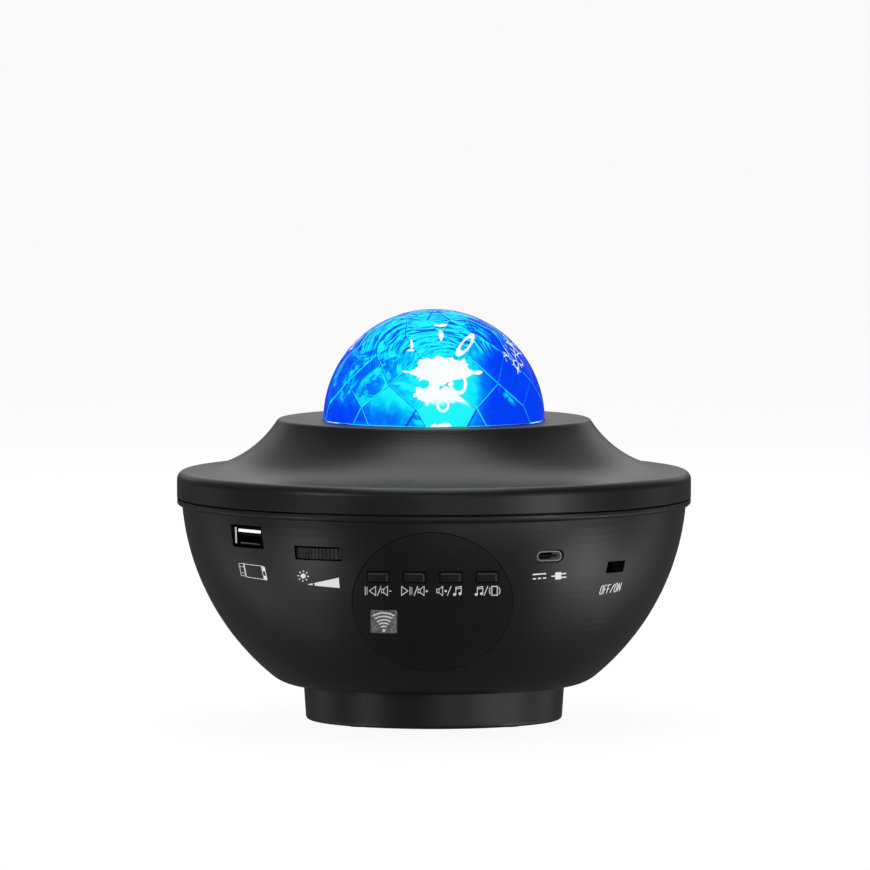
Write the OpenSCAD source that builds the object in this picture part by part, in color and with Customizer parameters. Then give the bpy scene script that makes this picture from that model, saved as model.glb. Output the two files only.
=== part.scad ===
// Star night light projector: a bowl-shaped shell on a round foot, a flared cover with a lens
// dome, a turning ripple lens over coloured lights, and a speaker in the foot.
// Millimetres. Origin at the centre of the base, +Z up, controls towards -Y.
// Directions round the shell are azimuths in degrees: 0 is -Y, positive towards +X.

/* [Outline] */
// Diameter over the rim of the cover
rim_d = 168; // [162:1:176]
// Height of the bowl's underside above the surface it stands on
foot_h = 12; // [10.5:0.1:14]
// Height of the bowl from its underside to the joint with the cover
bowl_h = 61; // [59:1:66]
// Radius of the bowl's side in profile
bowl_arc_r = 81; // [78:0.1:84]
// Height of the middle of that radius above the joint
belly_rise = 4.7; // [2:0.1:6]
// Radius of the turn from the bowl's side to its underside
blend_r = 14; // [12:0.5:18]
// Height of the cover from the joint to its flat collar
cover_h = 25.9; // [23:0.5:28]
// Radius at which the cover's flare meets the collar
collar_r = 50.9; // [50:0.1:54]
// Height of the upright band at the rim
band_h = 6.1; // [5:0.1:7]
// Radius of the edge above the band
shoulder_r = 2.8; // [1:0.1:3]
// Radius of the collar's outer edge
collar_fillet = 1.5; // [0.5:0.1:3]
// Radius of the lens dome
dome_r = 36.2; // [36:0.1:38]
// How far the middle of the dome lies below the collar
dome_sink = 0.5; // [0.3:0.1:1]
// Radius of the foot where it meets the bowl
foot_r = 42.6; // [42:0.1:44]
// How much narrower the foot is at its lower end
foot_draft = 0.7; // [0:0.1:1.5]
// Radius of the foot's lower edge
foot_fillet = 1.2; // [0.5:0.1:1.6]

/* [Walls] */
// Wall of the bowl
bowl_wall = 2.4; // [2.2:0.1:2.8]
// Wall of the cover
cover_wall = 2.4; // [2.2:0.1:2.8]
// Wall of the lens dome
dome_wall = 2; // [1.5:0.1:2.2]
// Wall and floor of the foot
foot_wall = 2.2; // [2:0.1:2.6]
// Thickness of the control panel
panel_t = 1.2; // [1:0.1:1.4]

/* [Joint] */
// Height of the groove between lip and cover
seam_gap = 0.3; // [0.3:0.1:0.6]
// How far the cover stands proud of the lip
lip_inset = 0.05; // [0:0.05:0.5]
// How far the lip stands proud of the bowl
lip_proud = 1.65; // [1:0.05:2]
// Height of the lip
lip_h = 2.2; // [1.8:0.1:3]
// Height of the rounded part of the lip
lip_round = 1.3; // [1:0.1:1.5]
// Thickness of the tongue inside the joint
tongue_t = 1.6; // [1.4:0.1:1.8]
// Height of the tongue above the lip
tongue_h = 4; // [3:0.1:4.5]
// Number of snap hooks
hook_count = 6; // [4:1:8]
// Width of a snap hook
hook_w = 8; // [6:0.5:10]
// Thickness of a snap hook
hook_t = 1.6; // [1.4:0.1:1.8]
// How far the hook's barb reaches out
barb = 1.2; // [1:0.1:1.4]
// Height of the barb
barb_h = 2; // [1.6:0.1:2.4]

/* [Control panel] */
// Diameter of the round panel
panel_d = 51.5; // [50:0.5:54]
// Sideways place of the panel's centre
panel_x = -0.5; // [-1.5:0.1:1.5]
// How far the panel's centre lies below the joint
panel_drop = 30.6; // [29.6:0.1:31.2]
// Width of a button opening
button_w = 7.5; // [6.8:0.1:7.8]
// Height of a button opening
button_h = 3.9; // [3.4:0.1:4.1]
// Gap round a button
button_gap = 0.35; // [0.25:0.05:0.4]
// Distance from button to button
button_pitch = 11.7; // [11:0.1:12]
// How far the buttons lie below the joint
button_drop = 20.2; // [20:0.1:20.6]
// How far a button stands proud of the panel
button_proud = 0.4; // [0.2:0.1:0.6]
// Travel of a button
button_travel = 0.5; // [0.3:0.1:0.6]
// Width of the remote control window
ir_w = 8.8; // [7.5:0.1:9]
// Height of the remote control window
ir_h = 9; // [8:0.1:9.2]
// How far the window's sides lean, in degrees, so that they look upright from the front
ir_lean = 7; // [5:1:10]
// Azimuth of the remote control window
ir_az = -13; // [-13.4:0.1:-12]
// How far the window's centre lies below the joint
ir_drop = 35.2; // [34.6:0.1:35.6]

/* [Sockets and controls] */
// Azimuth of the large socket
usb_a_az = -48.2; // [-49:0.1:-46]
// How far the large socket lies below the joint
usb_a_drop = 8.8; // [8.8:0.1:9.6]
// Width of the opening round the large socket
usb_a_hole_w = 15.2; // [13.8:0.1:15.4]
// Height of the opening round the large socket
usb_a_hole_h = 7.3; // [6.8:0.1:7.6]
// Azimuth of the brightness wheel
wheel_az = -27.8; // [-28:0.1:-27]
// How far the wheel lies below the joint
wheel_drop = 13; // [12.8:0.1:13.2]
// Width of the wheel's slot
wheel_slot_w = 16.9; // [15:0.1:17]
// Height of the wheel's slot
wheel_slot_h = 4.5; // [4.2:0.1:5]
// Radius of the wheel
wheel_r = 13; // [12:0.5:13.5]
// Thickness of the wheel
wheel_t = 3.4; // [3:0.1:3.6]
// How far the wheel stands out of the wall
wheel_proud = 1.2; // [0.8:0.1:1.6]
// Number of ribs on the wheel
wheel_ribs = 64; // [48:1:72]
// Depth of the grooves between the ribs
rib_depth = 0.5; // [0.3:0.1:0.7]
// Azimuth of the power inlet
usb_c_az = 27.7; // [27:0.1:28.5]
// How far the power inlet lies below the joint
usb_c_drop = 13.9; // [13.6:0.1:14]
// Width of the opening round the power inlet
usb_c_hole_w = 10.1; // [9.4:0.1:10.4]
// Height of the opening round the power inlet
usb_c_hole_h = 4.1; // [3.7:0.1:4.4]
// Azimuth of the power switch
switch_az = 48; // [47:0.1:49]
// How far the power switch lies below the joint
switch_drop = 18.7; // [18.7:0.1:19.2]
// Width of the switch's opening
switch_hole_w = 8.4; // [8:0.1:9]
// Height of the switch's opening
switch_hole_h = 3.7; // [3.4:0.1:4]
// Width of the switch's knob
knob_w = 4.2; // [3.8:0.1:4.4]
// Travel of the switch's knob
switch_travel = 3; // [2.5:0.1:3.1]

/* [Circuit board] */
// Thickness of the board
board_t = 1.6; // [1.2:0.1:1.8]
// Width of the board from its inner to its outer edge
board_w = 28.5; // [27:0.5:30]
// Half the angle that the board covers
board_half_angle = 70; // [66:1:74]
// Clear space between the board and the bowl
board_gap = 1; // [0.8:0.1:1.5]
// How far the board's posts stand in from its outer edge
post_inset = 20.5; // [18:0.5:22]
// Radius of a post
post_r = 3; // [2.6:0.1:3.2]

/* [Light engine] */
// Module of the gears
gear_module = 0.8; // [0.75:0.01:0.82]
// Teeth of the ring gear
ring_teeth = 84; // [82:1:86]
// Teeth of the pinion
pinion_teeth = 14; // [13:1:15]
// Thickness of the ring gear
gear_t = 4; // [3.5:0.1:4.5]
// Azimuth of the motor
motor_az = 90; // [85:1:95]
// Radius of the motor
motor_r = 8; // [7:0.5:8.5]
// Length of the motor
motor_h = 15; // [12:0.5:16]
// Radius of the motor's shaft
shaft_r = 1; // [0.8:0.1:1.2]
// Outer radius of the ripple lens
ripple_r = 31.5; // [31:0.1:32]
// Wall of the ripple lens
ripple_wall = 1.5; // [1.2:0.1:1.5]
// Thickness of the chassis plate
chassis_t = 2; // [1.8:0.1:2.4]
// Radius of the chassis plate
chassis_r = 50.5; // [50:0.5:52]
// How far the chassis plate lies below the collar
chassis_drop = 16.3; // [16:0.1:17]
// Outer radius of the collar that the ring gear runs on
bearing_r = 29; // [28.5:0.1:29.5]
// Radius of the light board
led_board_r = 25; // [24:0.5:25]
// Radius of the heat sink
sink_r = 29; // [28:0.5:30]
// Length of the heat sink's fins
fin_h = 8.5; // [6:0.5:10]
// Number of fins
fin_count = 6; // [4:2:8]
// Radius of the laser module
laser_r = 3; // [2.5:0.1:3.2]
// Length of the laser module
laser_h = 20; // [16:1:22]

/* [Speaker] */
// Radius of the speaker's flange
speaker_r = 27; // [26:0.5:27.5]
// Depth of the speaker's basket
basket_h = 8.2; // [7.5:0.1:9]
// Radius of the magnet
magnet_r = 14.5; // [13:0.5:15.5]
// Thickness of the magnet
magnet_t = 5; // [4:0.5:6]
// Stroke of the cone each way
cone_stroke = 0.8; // [0.5:0.1:0.9]
// Radius of a hole in the grille
grille_hole_r = 1.5; // [1:0.1:1.7]
// Distance from one ring of grille holes to the next
grille_pitch = 5.2; // [5.1:0.1:5.4]

/* [Pads, screws and clearances] */
// Radius of a rubber pad
pad_r = 4.5; // [4:0.1:5]
// How far the pads lift the foot
pad_proud = 0.5; // [0.5:0.1:0.8]
// How deep the pads sit in the foot
pad_seat = 0.6; // [0.4:0.1:0.8]
// Shank radius of the small screws
screw_r = 1.2; // [1:0.1:1.3]
// Head radius of the small screws
head_r = 2.4; // [2:0.1:2.5]
// Head height of the small screws
head_h = 1.6; // [1.2:0.1:1.8]
// Clearance of a piece in its opening
fit_gap = 0.2; // [0.15:0.05:0.25]
// Clearance between pieces that pass each other
pass_gap = 0.3; // [0.25:0.05:0.35]
// Clearance of a shaft in its bearing
run_gap = 0.05; // [0.02:0.01:0.08]
// Clearance of a screw in its pilot hole
thread_gap = 0.05; // [0.02:0.01:0.08]

/* [Hidden] */
$fn = 96;
rim_r = rim_d / 2;
split_z = foot_h + bowl_h;
collar_z = split_z + cover_h;

// The bowl in profile: a long arc down the side, then a tighter one to the underside.
lip_z = split_z - seam_gap - lip_h;
lip_r = rim_r - lip_inset;
bowl_cz = split_z + belly_rise;
bowl_cr = lip_r - lip_proud - sqrt(pow(bowl_arc_r, 2) - pow(bowl_cz - lip_z, 2));
blend_cz = foot_h + blend_r;
blend_cr = bowl_cr + sqrt(pow(bowl_arc_r - blend_r, 2) - pow(bowl_cz - blend_cz, 2));
blend_a = atan2(bowl_cz - blend_cz, blend_cr - bowl_cr);
arc_steps = 12;

function arc(c, r, a0, a1, n = arc_steps) =
    [for (i = [0:n]) let (a = a0 + (a1 - a0) * i / n) [c[0] + r * cos(a), c[1] + r * sin(a)]];
function tail(p) = [for (i = [1:len(p) - 1]) p[i]];
function reversed(p) = [for (i = [len(p) - 1:-1:0]) p[i]];

// The point of the plan at an azimuth and a radius, that point at a height, and points raised by z.
function place(az, r) = [r * sin(az), -r * cos(az)];
function at_height(p, z) = [p[0], p[1], z];
function lifted(points, z) = [for (p = points) p + [0, 0, z]];

// Radius of the bowl at a height, measured inwards from its outer face.
function bowl_at(z, inset = 0) = bowl_cr + sqrt(pow(bowl_arc_r - inset, 2) - pow(bowl_cz - z, 2));
function bowl_slope(z) = asin((bowl_cz - z) / bowl_arc_r);
function bowl_curve(inset, top_z) = concat(
    arc([blend_cr, blend_cz], blend_r - inset, -90, -blend_a),
    tail(arc([bowl_cr, bowl_cz], bowl_arc_r - inset, -blend_a,
             -asin((bowl_cz - top_z) / (bowl_arc_r - inset)), 2 * arc_steps)));

// A rectangle with round corners, as points.
function round_rect(w, h, r) = concat(
    arc([w / 2 - r, h / 2 - r], r, 0, 90, 6), arc([r - w / 2, h / 2 - r], r, 90, 180, 6),
    arc([r - w / 2, r - h / 2], r, 180, 270, 6), arc([w / 2 - r, r - h / 2], r, 270, 360, 6));

// Small things that many pieces share: how far a joined feature sinks into its wall, the radius
// of an opening's corners, how deep openings are cut, and the head of a countersunk screw.
weld = 0.4;
corner_r = 0.5;
button_corner_r = 0.4;
cut_depth = 12;
low_head_h = 1.3;
end_gap = 1;

// The joint between bowl and cover.
rebate = 0.4;
edge_break = 0.4;
tongue_r = rim_r - cover_wall + rebate - fit_gap;
tongue_z = split_z - seam_gap + tongue_h;
inner_top_z = lip_z + lip_h / 2;
throat_r = foot_r - foot_wall - 2 * post_r - 0.4;
hook_z = split_z - 5.8;
hook_top_z = split_z + band_h + shoulder_r - cover_wall + 1;
hook_r = bowl_at(hook_z + barb_h + pass_gap, bowl_wall) - pass_gap;
hook_step = 360 / hook_count;

// The cover in profile.
band_z = split_z + band_h;
sweep_dx = rim_r - shoulder_r - collar_r;
sweep_dz = collar_z - band_z - shoulder_r;
sweep_r = (pow(sweep_dx, 2) + pow(sweep_dz, 2)) / (2 * sweep_dz);
sweep_c = [rim_r - shoulder_r, band_z + shoulder_r + sweep_r];
fillet_dz = sweep_c[1] - collar_z + collar_fillet;
fillet_c = [sweep_c[0] - sqrt(pow(sweep_r + collar_fillet, 2) - pow(fillet_dz, 2)),
            collar_z - collar_fillet];
fillet_a = asin(fillet_dz / (sweep_r + collar_fillet));
dome_cz = collar_z - dome_sink;
dome_hole_r = dome_r + fit_gap;
collar_under_z = dome_cz - cover_wall;
inner_sweep_r = sweep_r + cover_wall;
ledge_r = hook_r;

// The clamped flange of the dome, its locating ring and the ring that clamps it.
flange_t = 2.2;
flange_r = dome_r + 3.8;
flange_z = collar_under_z - flange_t;
locator_t = 1.7;
retainer_t = 1.6;
retainer_ear_r = 3;
retainer_r = flange_r + locator_t + 1.7;
retainer_screw_ring = flange_r + locator_t + head_r + 0.4;

// The light engine, from the chassis plate up.
chassis_z = collar_z - chassis_drop;
chassis_post_ring = collar_r - 4.1;
shoulder_h = 3.85;
gear_z = chassis_z + shoulder_h + pass_gap / 2;
gear_top_z = gear_z + gear_t;
ring_pitch_r = gear_module * ring_teeth / 2;
pinion_pitch_r = gear_module * pinion_teeth / 2;
gear_axis_r = ring_pitch_r + pinion_pitch_r;
pressure_a = 25;
addendum = gear_module;
dedendum = 1.25 * gear_module;
backlash = 0.12;
clip_t = 0.7;
clip_z = gear_top_z + 0.15;
clip_depth = 0.8;
bearing_wall = 2.5;
ripple_base_z = gear_top_z;
ripple_cz = dome_cz - 0.8;
led_board_t = 1.6;
led_h = 1.5;
led_w = 5;
led_ring = 12;
lens_h = 6;
lens_r = 4.5;
lens_foot_r = 3;
lens_rim_h = 1.5;
grating_t = 1.2;
grating_rim = 0.8;
sink_base_t = 3.5;
sink_ear_ring = sink_r + 4;
sink_screw_azimuths = [60, 180, 300];
sink_top_z = chassis_z - chassis_t;
fin_pitch = 8;
fin_t = 1.2;
boss_r = 2.8;
boss_h = 3;
motor_top_z = chassis_z - chassis_t;
motor_ear_x = motor_r + 4;
motor_ear_t = 1.2;
motor_boss_r = 3;
laser_z = sink_top_z - 12;
chassis_azimuths = [45, 135, 225, 315];
retainer_azimuths = [0, 90, 180, 270];

// The circuit board hangs from the power inlet: the inlet lies on the board's top.
usb_a_z = split_z - usb_a_drop;
usb_a_w = 13.1;
usb_a_h = 5.7;
usb_a_depth = 14;
usb_a_sunk = 1;
usb_a_face_r = bowl_at(usb_a_z) - usb_a_sunk;
usb_a_block_d = 3;
usb_a_tongue_t = 1.8;
usb_a_tongue_drop = 1.6;
usb_a_tongue_in = 1;
usb_c_z = split_z - usb_c_drop;
usb_c_w = 8.94;
usb_c_h = 3.26;
usb_c_depth = 7.35;
usb_c_sunk = 0.4;
usb_c_face_r = bowl_at(usb_c_z) - usb_c_sunk;
usb_c_block_d = 1.2;
usb_c_tongue_w = 6.7;
usb_c_tongue_t = 0.7;
usb_c_tongue_in = 0.8;
shell_t = 0.35;
shell_corner_r = 0.2;
board_top_z = usb_c_z - usb_c_h / 2;
board_z = board_top_z - board_t;
board_r = bowl_at(board_z, bowl_wall) - board_gap;
board_r_in = board_r - board_w;
post_ring_r = board_r - post_inset;
post_azimuths = [-62, -16, 16, 62];
screw_len = 10;

// Chips on the board: azimuth, distance in from its outer edge, width, depth and height.
chips = [[0, 16.5, 10, 10, 1.4], [25, 16.5, 6, 6, 1.2], [-36, 24.5, 8, 5, 1.5], [-48, 20.5, 7, 7, 3]];
capacitor_azimuths = [38, 44];
capacitor_inset = 18.5;
capacitor_r = 2.5;
capacitor_h = 6;

// The buttons and the switches behind them.
button_z = split_z - button_drop;
button_x = [for (i = [0:3]) panel_x + 0.15 + (i - 1.5) * button_pitch];
sleeve_wall = 1;
flange_w = button_w + 1.6;
flange_h = button_h + 1.6;
sleeve_front_y = bowl_at(button_z, bowl_wall) * cos(asin(max([for (x = button_x) abs(x)])
    / bowl_at(button_z, bowl_wall))) - 2.6;
flange_y = sleeve_front_y - pass_gap;
button_flange_t = 1;
tact_gap = 1.2;
tact_y = flange_y - button_flange_t - tact_gap;
tact_w = 6;
tact_depth = 6;
stem_r = 1.5;
stem_in = 0.9;
board_notch_y = tact_y - 2.3;
board_notch_w = 4 * button_pitch + 3.8;

// The brightness wheel and its potentiometer.
wheel_z = split_z - wheel_drop;
wheel_axis_r = bowl_at(wheel_z) + wheel_proud - wheel_r;
wheel_axle_r = 3;
pot_r = 5.5;
pot_bush_r = 4.5;
pot_h = 4.2;

// The power switch: its knob rests at the ON end, to the right.
switch_z = split_z - switch_drop;
switch_face_r = bowl_at(switch_z) - 6.7;
switch_body_w = 12;
switch_body_d = 5;
knob_h = switch_hole_h - 4 * fit_gap;
knob_foot_h = knob_h - 1;
knob_in = 2.1;
knob_sunk = 0.8;
knob_corner_r = 0.3;
knob_groove = 0.4;
knob_groove_pitch = 1.1;
switch_body_h = 2 * (board_z - switch_z);

// The window for the remote control and the receiver behind it.
panel_z = split_z - panel_drop;
ir_z = split_z - ir_drop;
ir_r = bowl_at(ir_z, bowl_wall);
receiver_w = 6.4;
receiver_h = 6;
receiver_d = 4;
receiver_face_r = ir_r - 3.6;
receiver_eye_r = 2.2;
shelf_t = 1.8;

// The foot and what it holds.
floor_z = pad_proud;
floor_top_z = floor_z + foot_wall;
foot_screw_ring = foot_r - foot_wall - post_r - 0.2;
foot_azimuths = [65, 155, 245, 335];
pad_azimuths = [45, 135, 225, 315];
pad_ring = foot_r - foot_wall - pad_r - 3;
counterbore = 1.5;
bowl_boss_h = 8;
speaker_seat_h = 1.8;
speaker_z = floor_top_z + speaker_seat_h;
speaker_flange_t = 1.2;
speaker_top_z = speaker_z + speaker_flange_t;
basket_side_h = 3.8;
speaker_ear_ring = speaker_r + 3.5;
speaker_ear_r = 4;
speaker_azimuths = [0, 90, 180, 270];
screw_floor_t = 0.8;
terminal_w = 6;
terminal_d = 3;
terminal_h = 2;
basket_t = 1.2;
basket_r = speaker_r - 3.6;
cone_r = basket_r - 1;
cone_t = 0.5;
surround_r = 2;
cap_rise = 0.6;
coil_r = 6.2;
coil_gap = 0.5;
coil_reach = 2.6;
former_wall = 0.7;
pole_r = 5;
basket_top_z = speaker_top_z + basket_h;
magnet_z = basket_top_z + basket_t;

// Places of the plugs on the board, and the wires' routes from piece to plug. The heights in the
// middle of a route count from the joint between bowl and cover.
plug_h = 3;
plug_w = 5;
lead_r = 1.1;
wire_r = 0.8;
led_plug = [6, -board_r_in - 3.5];
speaker_plug = [-6, -board_r_in - 3.5];
motor_plug = place(54.3, board_r - 20);
ir_plug = place(-8.7, board_r - 16.8);
plug_top_z = board_top_z + plug_h;
plug_low_z = board_z - plug_h;
sink_hole_y = -21;
motor_end = place(motor_az, gear_axis_r);
terminal_y = 1 - speaker_r;
receiver_top = place(ir_az, receiver_face_r - receiver_d / 2);
led_route = concat([[0, sink_hole_y, sink_top_z]],
    lifted([[0, sink_hole_y, 2], [0, -22, -2], [0, -26, -6], [1, -33, -8], [3, -41, -7.5],
            [5, -48, -7.5], at_height(led_plug, -9), at_height(led_plug, -11)], split_z),
    [at_height(led_plug, plug_top_z)]);
motor_route = concat([at_height(motor_end, motor_top_z - motor_h)],
    lifted([at_height(motor_end, -11), [39.5, -1.5, -13], [40.5, -7, -13.5], [42, -15, -11],
            [44, -24, -8], [45.6, -31, -8], at_height(motor_plug, -10.5)], split_z),
    [at_height(motor_plug, plug_top_z)]);
speaker_route = concat([[0, terminal_y, speaker_top_z + terminal_h], [0, terminal_y, foot_h]],
    lifted([[-0.4, -27, -55], [-1.5, -31, -47], [-3.5, -38, -38], [-5.2, -45, -30],
            [-5.9, -50, -25], at_height(speaker_plug, -22)], split_z),
    [at_height(speaker_plug, plug_low_z)]);
ir_route = concat([at_height(receiver_top, ir_z + receiver_h / 2)],
    lifted([at_height(receiver_top, -30), [-12.9, -61.6, -27.5], [-10.4, -59.8, -24.5],
            at_height(ir_plug, -22)], split_z),
    [at_height(ir_plug, plug_low_z)]);

black = [0.06, 0.06, 0.065];
dark = [0.11, 0.11, 0.12];
steel = [0.75, 0.76, 0.78];
white = [0.92, 0.92, 0.9];

// Helpers -------------------------------------------------------------------------------------

// Places children at an azimuth and a radius, facing outwards along -Y.
module at(az, r, z = 0) rotate([0, 0, az]) translate([0, -r, z]) children();

// Extrudes a flat shape from radius r0 to radius r1 at an azimuth and height, facing outwards.
module outward(az, r0, r1, z) rotate([0, 0, az]) translate([0, -r0, z])
    rotate([90, 0, 0]) linear_extrude(r1 - r0) children();

// A tube round an upright axis.
module ring(r_out, r_in, h) difference() {
    cylinder(r = r_out, h = h);
    translate([0, 0, -1]) cylinder(r = r_in, h = h + 2);
}

// A screw with its head on top of z = 0 and its shank below.
module screw(len, head = head_h) {
    cylinder(r = head_r, h = head);
    translate([0, 0, -len]) cylinder(r = screw_r, h = len + head / 2);
}

// All that lies inside the bowl's outer face, moved inwards by inset.
module bowl_solid(inset = 0) rotate_extrude() polygon(concat(
    [[0, foot_h + inset]], bowl_curve(inset, lip_z), [[0, lip_z]]));

// The layer of the bowl's wall between two depths.
module wall_layer(depth_0, depth_1) difference() {
    bowl_solid(depth_0);
    bowl_solid(depth_1);
}

// A straight prism along the wall's normal at an azimuth and a height.
module along_normal(az, z, reach = 8) rotate([0, 0, az]) translate([0, -bowl_at(z), z])
    rotate([90 + bowl_slope(z), 0, 0]) translate([0, 0, -reach]) linear_extrude(2 * reach)
    children();

module panel_disc(r) translate([panel_x, 0, 0]) along_normal(0, panel_z) circle(r = r);
module button_prism(w, h, y0, y1) for (x = button_x)
    translate([x, -y0, button_z]) rotate([90, 0, 0]) linear_extrude(y1 - y0)
        polygon(round_rect(w, h, button_corner_r));
module window_prism(gap) along_normal(ir_az, ir_z)
    polygon([for (p = round_rect(ir_w - 2 * gap, ir_h - 2 * gap, corner_r)) [p[0] + p[1] * tan(ir_lean), p[1]]]);

// A tube with eight sides along a route.
function unit(v) = v / norm(v);
function tangent(p, i) = unit(p[min(i + 1, len(p) - 1)] - p[max(i - 1, 0)]);
function ring_points(c, t, r) = let (u = unit(cross(t, [1, 0.2, 0.1])), v = cross(t, u))
    [for (k = [0:7]) c + r * (cos(45 * k) * u + sin(45 * k) * v)];
module tube(route, r) {
    n = len(route);
    points = [for (i = [0:n - 1]) each ring_points(route[i], tangent(route, i), r)];
    sides = [for (i = [0:n - 2], k = [0:7]) let (a = 8 * i + k, b = 8 * i + (k + 1) % 8)
        [a, a + 8, b + 8, b]];
    caps = [[for (k = [0:7]) k], [for (k = [7:-1:0]) 8 * (n - 1) + k]];
    polyhedron(points = points, faces = concat(sides, caps));
}

// Outline of an involute gear: each tooth is root, pitch circle and tip on both flanks.
function roll(rb, r) = let (t = sqrt(max(0, pow(r / rb, 2) - 1))) t * 180 / PI - atan(t);
function gear_outline(teeth, steps = 3) = let (
    rp = gear_module * teeth / 2, rb = rp * cos(pressure_a),
    tip = rp + addendum, root = rp - dedendum, base = max(rb, root),
    half = 90 / teeth - backlash / rp * 90 / PI + roll(rb, rp),
    flank = concat([[root, half - roll(rb, base)]],
        [for (i = [root < rb ? 0 : 1:steps]) let (r = base + (tip - base) * i / steps)
            [r, half - roll(rb, r)]]))
    [for (k = [0:teeth - 1]) each concat(
        [for (f = flank) f[0] * [cos(360 * k / teeth - f[1]), sin(360 * k / teeth - f[1])]],
        [for (f = reversed(flank)) f[0] * [cos(360 * k / teeth + f[1]), sin(360 * k / teeth + f[1])]])];

// Shells --------------------------------------------------------------------------------------

module lower_bowl() color(black) {
    lip = [for (i = [1:6]) [lip_r - lip_proud * (1 - sin(15 * i)), lip_z + lip_round * (1 - cos(15 * i))]];
    difference() {
        union() {
            rotate_extrude() polygon(concat([[throat_r, foot_h]], bowl_curve(0, lip_z), lip,
                [[lip_r, split_z - seam_gap], [tongue_r, split_z - seam_gap], [tongue_r, tongue_z],
                 [tongue_r - tongue_t, tongue_z]],
                reversed(bowl_curve(bowl_wall, inner_top_z)), [[throat_r, foot_h + bowl_wall]]));
            intersection() {
                bowl_solid(bowl_wall - weld);
                union() {
                    for (az = post_azimuths) at(az, post_ring_r) cylinder(r = post_r, h = board_z);
                    button_prism(button_w + 2 * sleeve_wall, button_h + 2 * sleeve_wall,
                                 sleeve_front_y, rim_r);
                    rotate([0, 0, ir_az]) translate([-receiver_w / 2, -rim_r, 0])
                        translate([0, 0, ir_z - receiver_h / 2 - shelf_t])
                        cube([receiver_w, rim_r - receiver_face_r + receiver_d, shelf_t]);
                }
            }
            for (az = foot_azimuths) at(az, foot_screw_ring, foot_h)
                cylinder(r = post_r, h = bowl_wall + bowl_boss_h);
        }
        for (az = post_azimuths) at(az, post_ring_r, board_z - screw_len)
            cylinder(r = screw_r + thread_gap, h = 2 * screw_len);
        for (az = foot_azimuths) at(az, foot_screw_ring, foot_h - 1)
            cylinder(r = screw_r + thread_gap, h = bowl_boss_h);
        for (i = [0:hook_count - 1]) rotate([0, 0, (i + 0.5) * hook_step])
            translate([-hook_w / 2 - pass_gap, -hook_r - barb - pass_gap, hook_z - pass_gap])
            cube([hook_w + 2 * pass_gap, barb + hook_t, barb_h + 2 * pass_gap]);
        intersection() {
            difference() {
                bowl_solid(-1);
                bowl_solid(panel_t);
            }
            panel_disc(panel_d / 2 + fit_gap);
        }
        button_prism(button_w, button_h, sleeve_front_y - 1, rim_r);
        window_prism(0);
        openings();
        at(wheel_az, wheel_axis_r, wheel_z - wheel_slot_h / 2)
            cylinder(r = wheel_r + pass_gap, h = wheel_slot_h);
    }
}

// The openings of the sockets, the wheel and the power switch.
module openings() {
    outward(usb_a_az, rim_r - cut_depth, rim_r, usb_a_z)
        polygon(round_rect(usb_a_hole_w, usb_a_hole_h, corner_r));
    outward(usb_c_az, rim_r - cut_depth, rim_r, usb_c_z)
        polygon(round_rect(usb_c_hole_w, usb_c_hole_h, usb_c_hole_h / 2 - 0.01));
    outward(switch_az, rim_r - cut_depth, rim_r, switch_z)
        polygon(round_rect(switch_hole_w, switch_hole_h, knob_corner_r));
    outward(wheel_az, rim_r - cut_depth, rim_r, wheel_z)
        polygon(round_rect(wheel_slot_w, wheel_slot_h, corner_r));
}

module top_cover() color(black) {
    difference() {
        union() {
            rotate_extrude() polygon(concat(
                [[rim_r - edge_break, split_z], [rim_r, split_z + edge_break]],
                arc([rim_r - shoulder_r, band_z], shoulder_r, 0, 90, 6),
                tail(arc(sweep_c, sweep_r, -90, fillet_a - 180, 2 * arc_steps)),
                tail(arc(fillet_c, collar_fillet, fillet_a, 90, 6)),
                [[collar_r - 2, collar_z], [dome_hole_r, dome_cz], [dome_hole_r, collar_under_z]],
                arc(sweep_c, inner_sweep_r, asin((sweep_c[1] - collar_under_z) / inner_sweep_r) - 180,
                    -90 - asin((sweep_c[0] - ledge_r) / inner_sweep_r), 2 * arc_steps),
                [[ledge_r, tongue_z], [tongue_r + fit_gap, tongue_z], [tongue_r + fit_gap, split_z]]));
            translate([0, 0, flange_z]) ring(flange_r + fit_gap + locator_t, flange_r + fit_gap,
                                             flange_t + 1);
            for (az = retainer_azimuths) at(az, retainer_screw_ring, flange_z)
                cylinder(r = retainer_ear_r, h = flange_t + 1);
            for (az = chassis_azimuths) at(az, chassis_post_ring, chassis_z)
                cylinder(r = post_r, h = collar_under_z - chassis_z + 1);
            for (i = [0:hook_count - 1]) rotate([0, 0, (i + 0.5) * hook_step]) {
                translate([-hook_w / 2, -hook_r, hook_z])
                    cube([hook_w, hook_t, hook_top_z - hook_z]);
                translate([-hook_w / 2, -hook_r, hook_z]) rotate([90, 0, 90]) linear_extrude(hook_w)
                    polygon([[0.1, 0], [-barb / 3, 0], [-barb, barb_h - 0.6],
                             [-barb, barb_h], [0.1, barb_h]]);
            }
        }
        for (az = retainer_azimuths) at(az, retainer_screw_ring, flange_z - 1)
            cylinder(r = screw_r + thread_gap, h = flange_t + 2.2);
        for (az = chassis_azimuths) at(az, chassis_post_ring, chassis_z - 1)
            cylinder(r = screw_r + thread_gap, h = screw_len);
    }
}

module lens_dome() color([0.1, 0.35, 0.95, 0.6]) {
    inner_r = dome_r - dome_wall;
    rotate_extrude() polygon(concat(
        arc([0, dome_cz], dome_r, 0, 90, 2 * arc_steps),
        arc([0, dome_cz], inner_r, 90, 0, 2 * arc_steps),
        [[inner_r, flange_z], [flange_r, flange_z], [flange_r, collar_under_z], [dome_r, collar_under_z]]));
}

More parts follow.
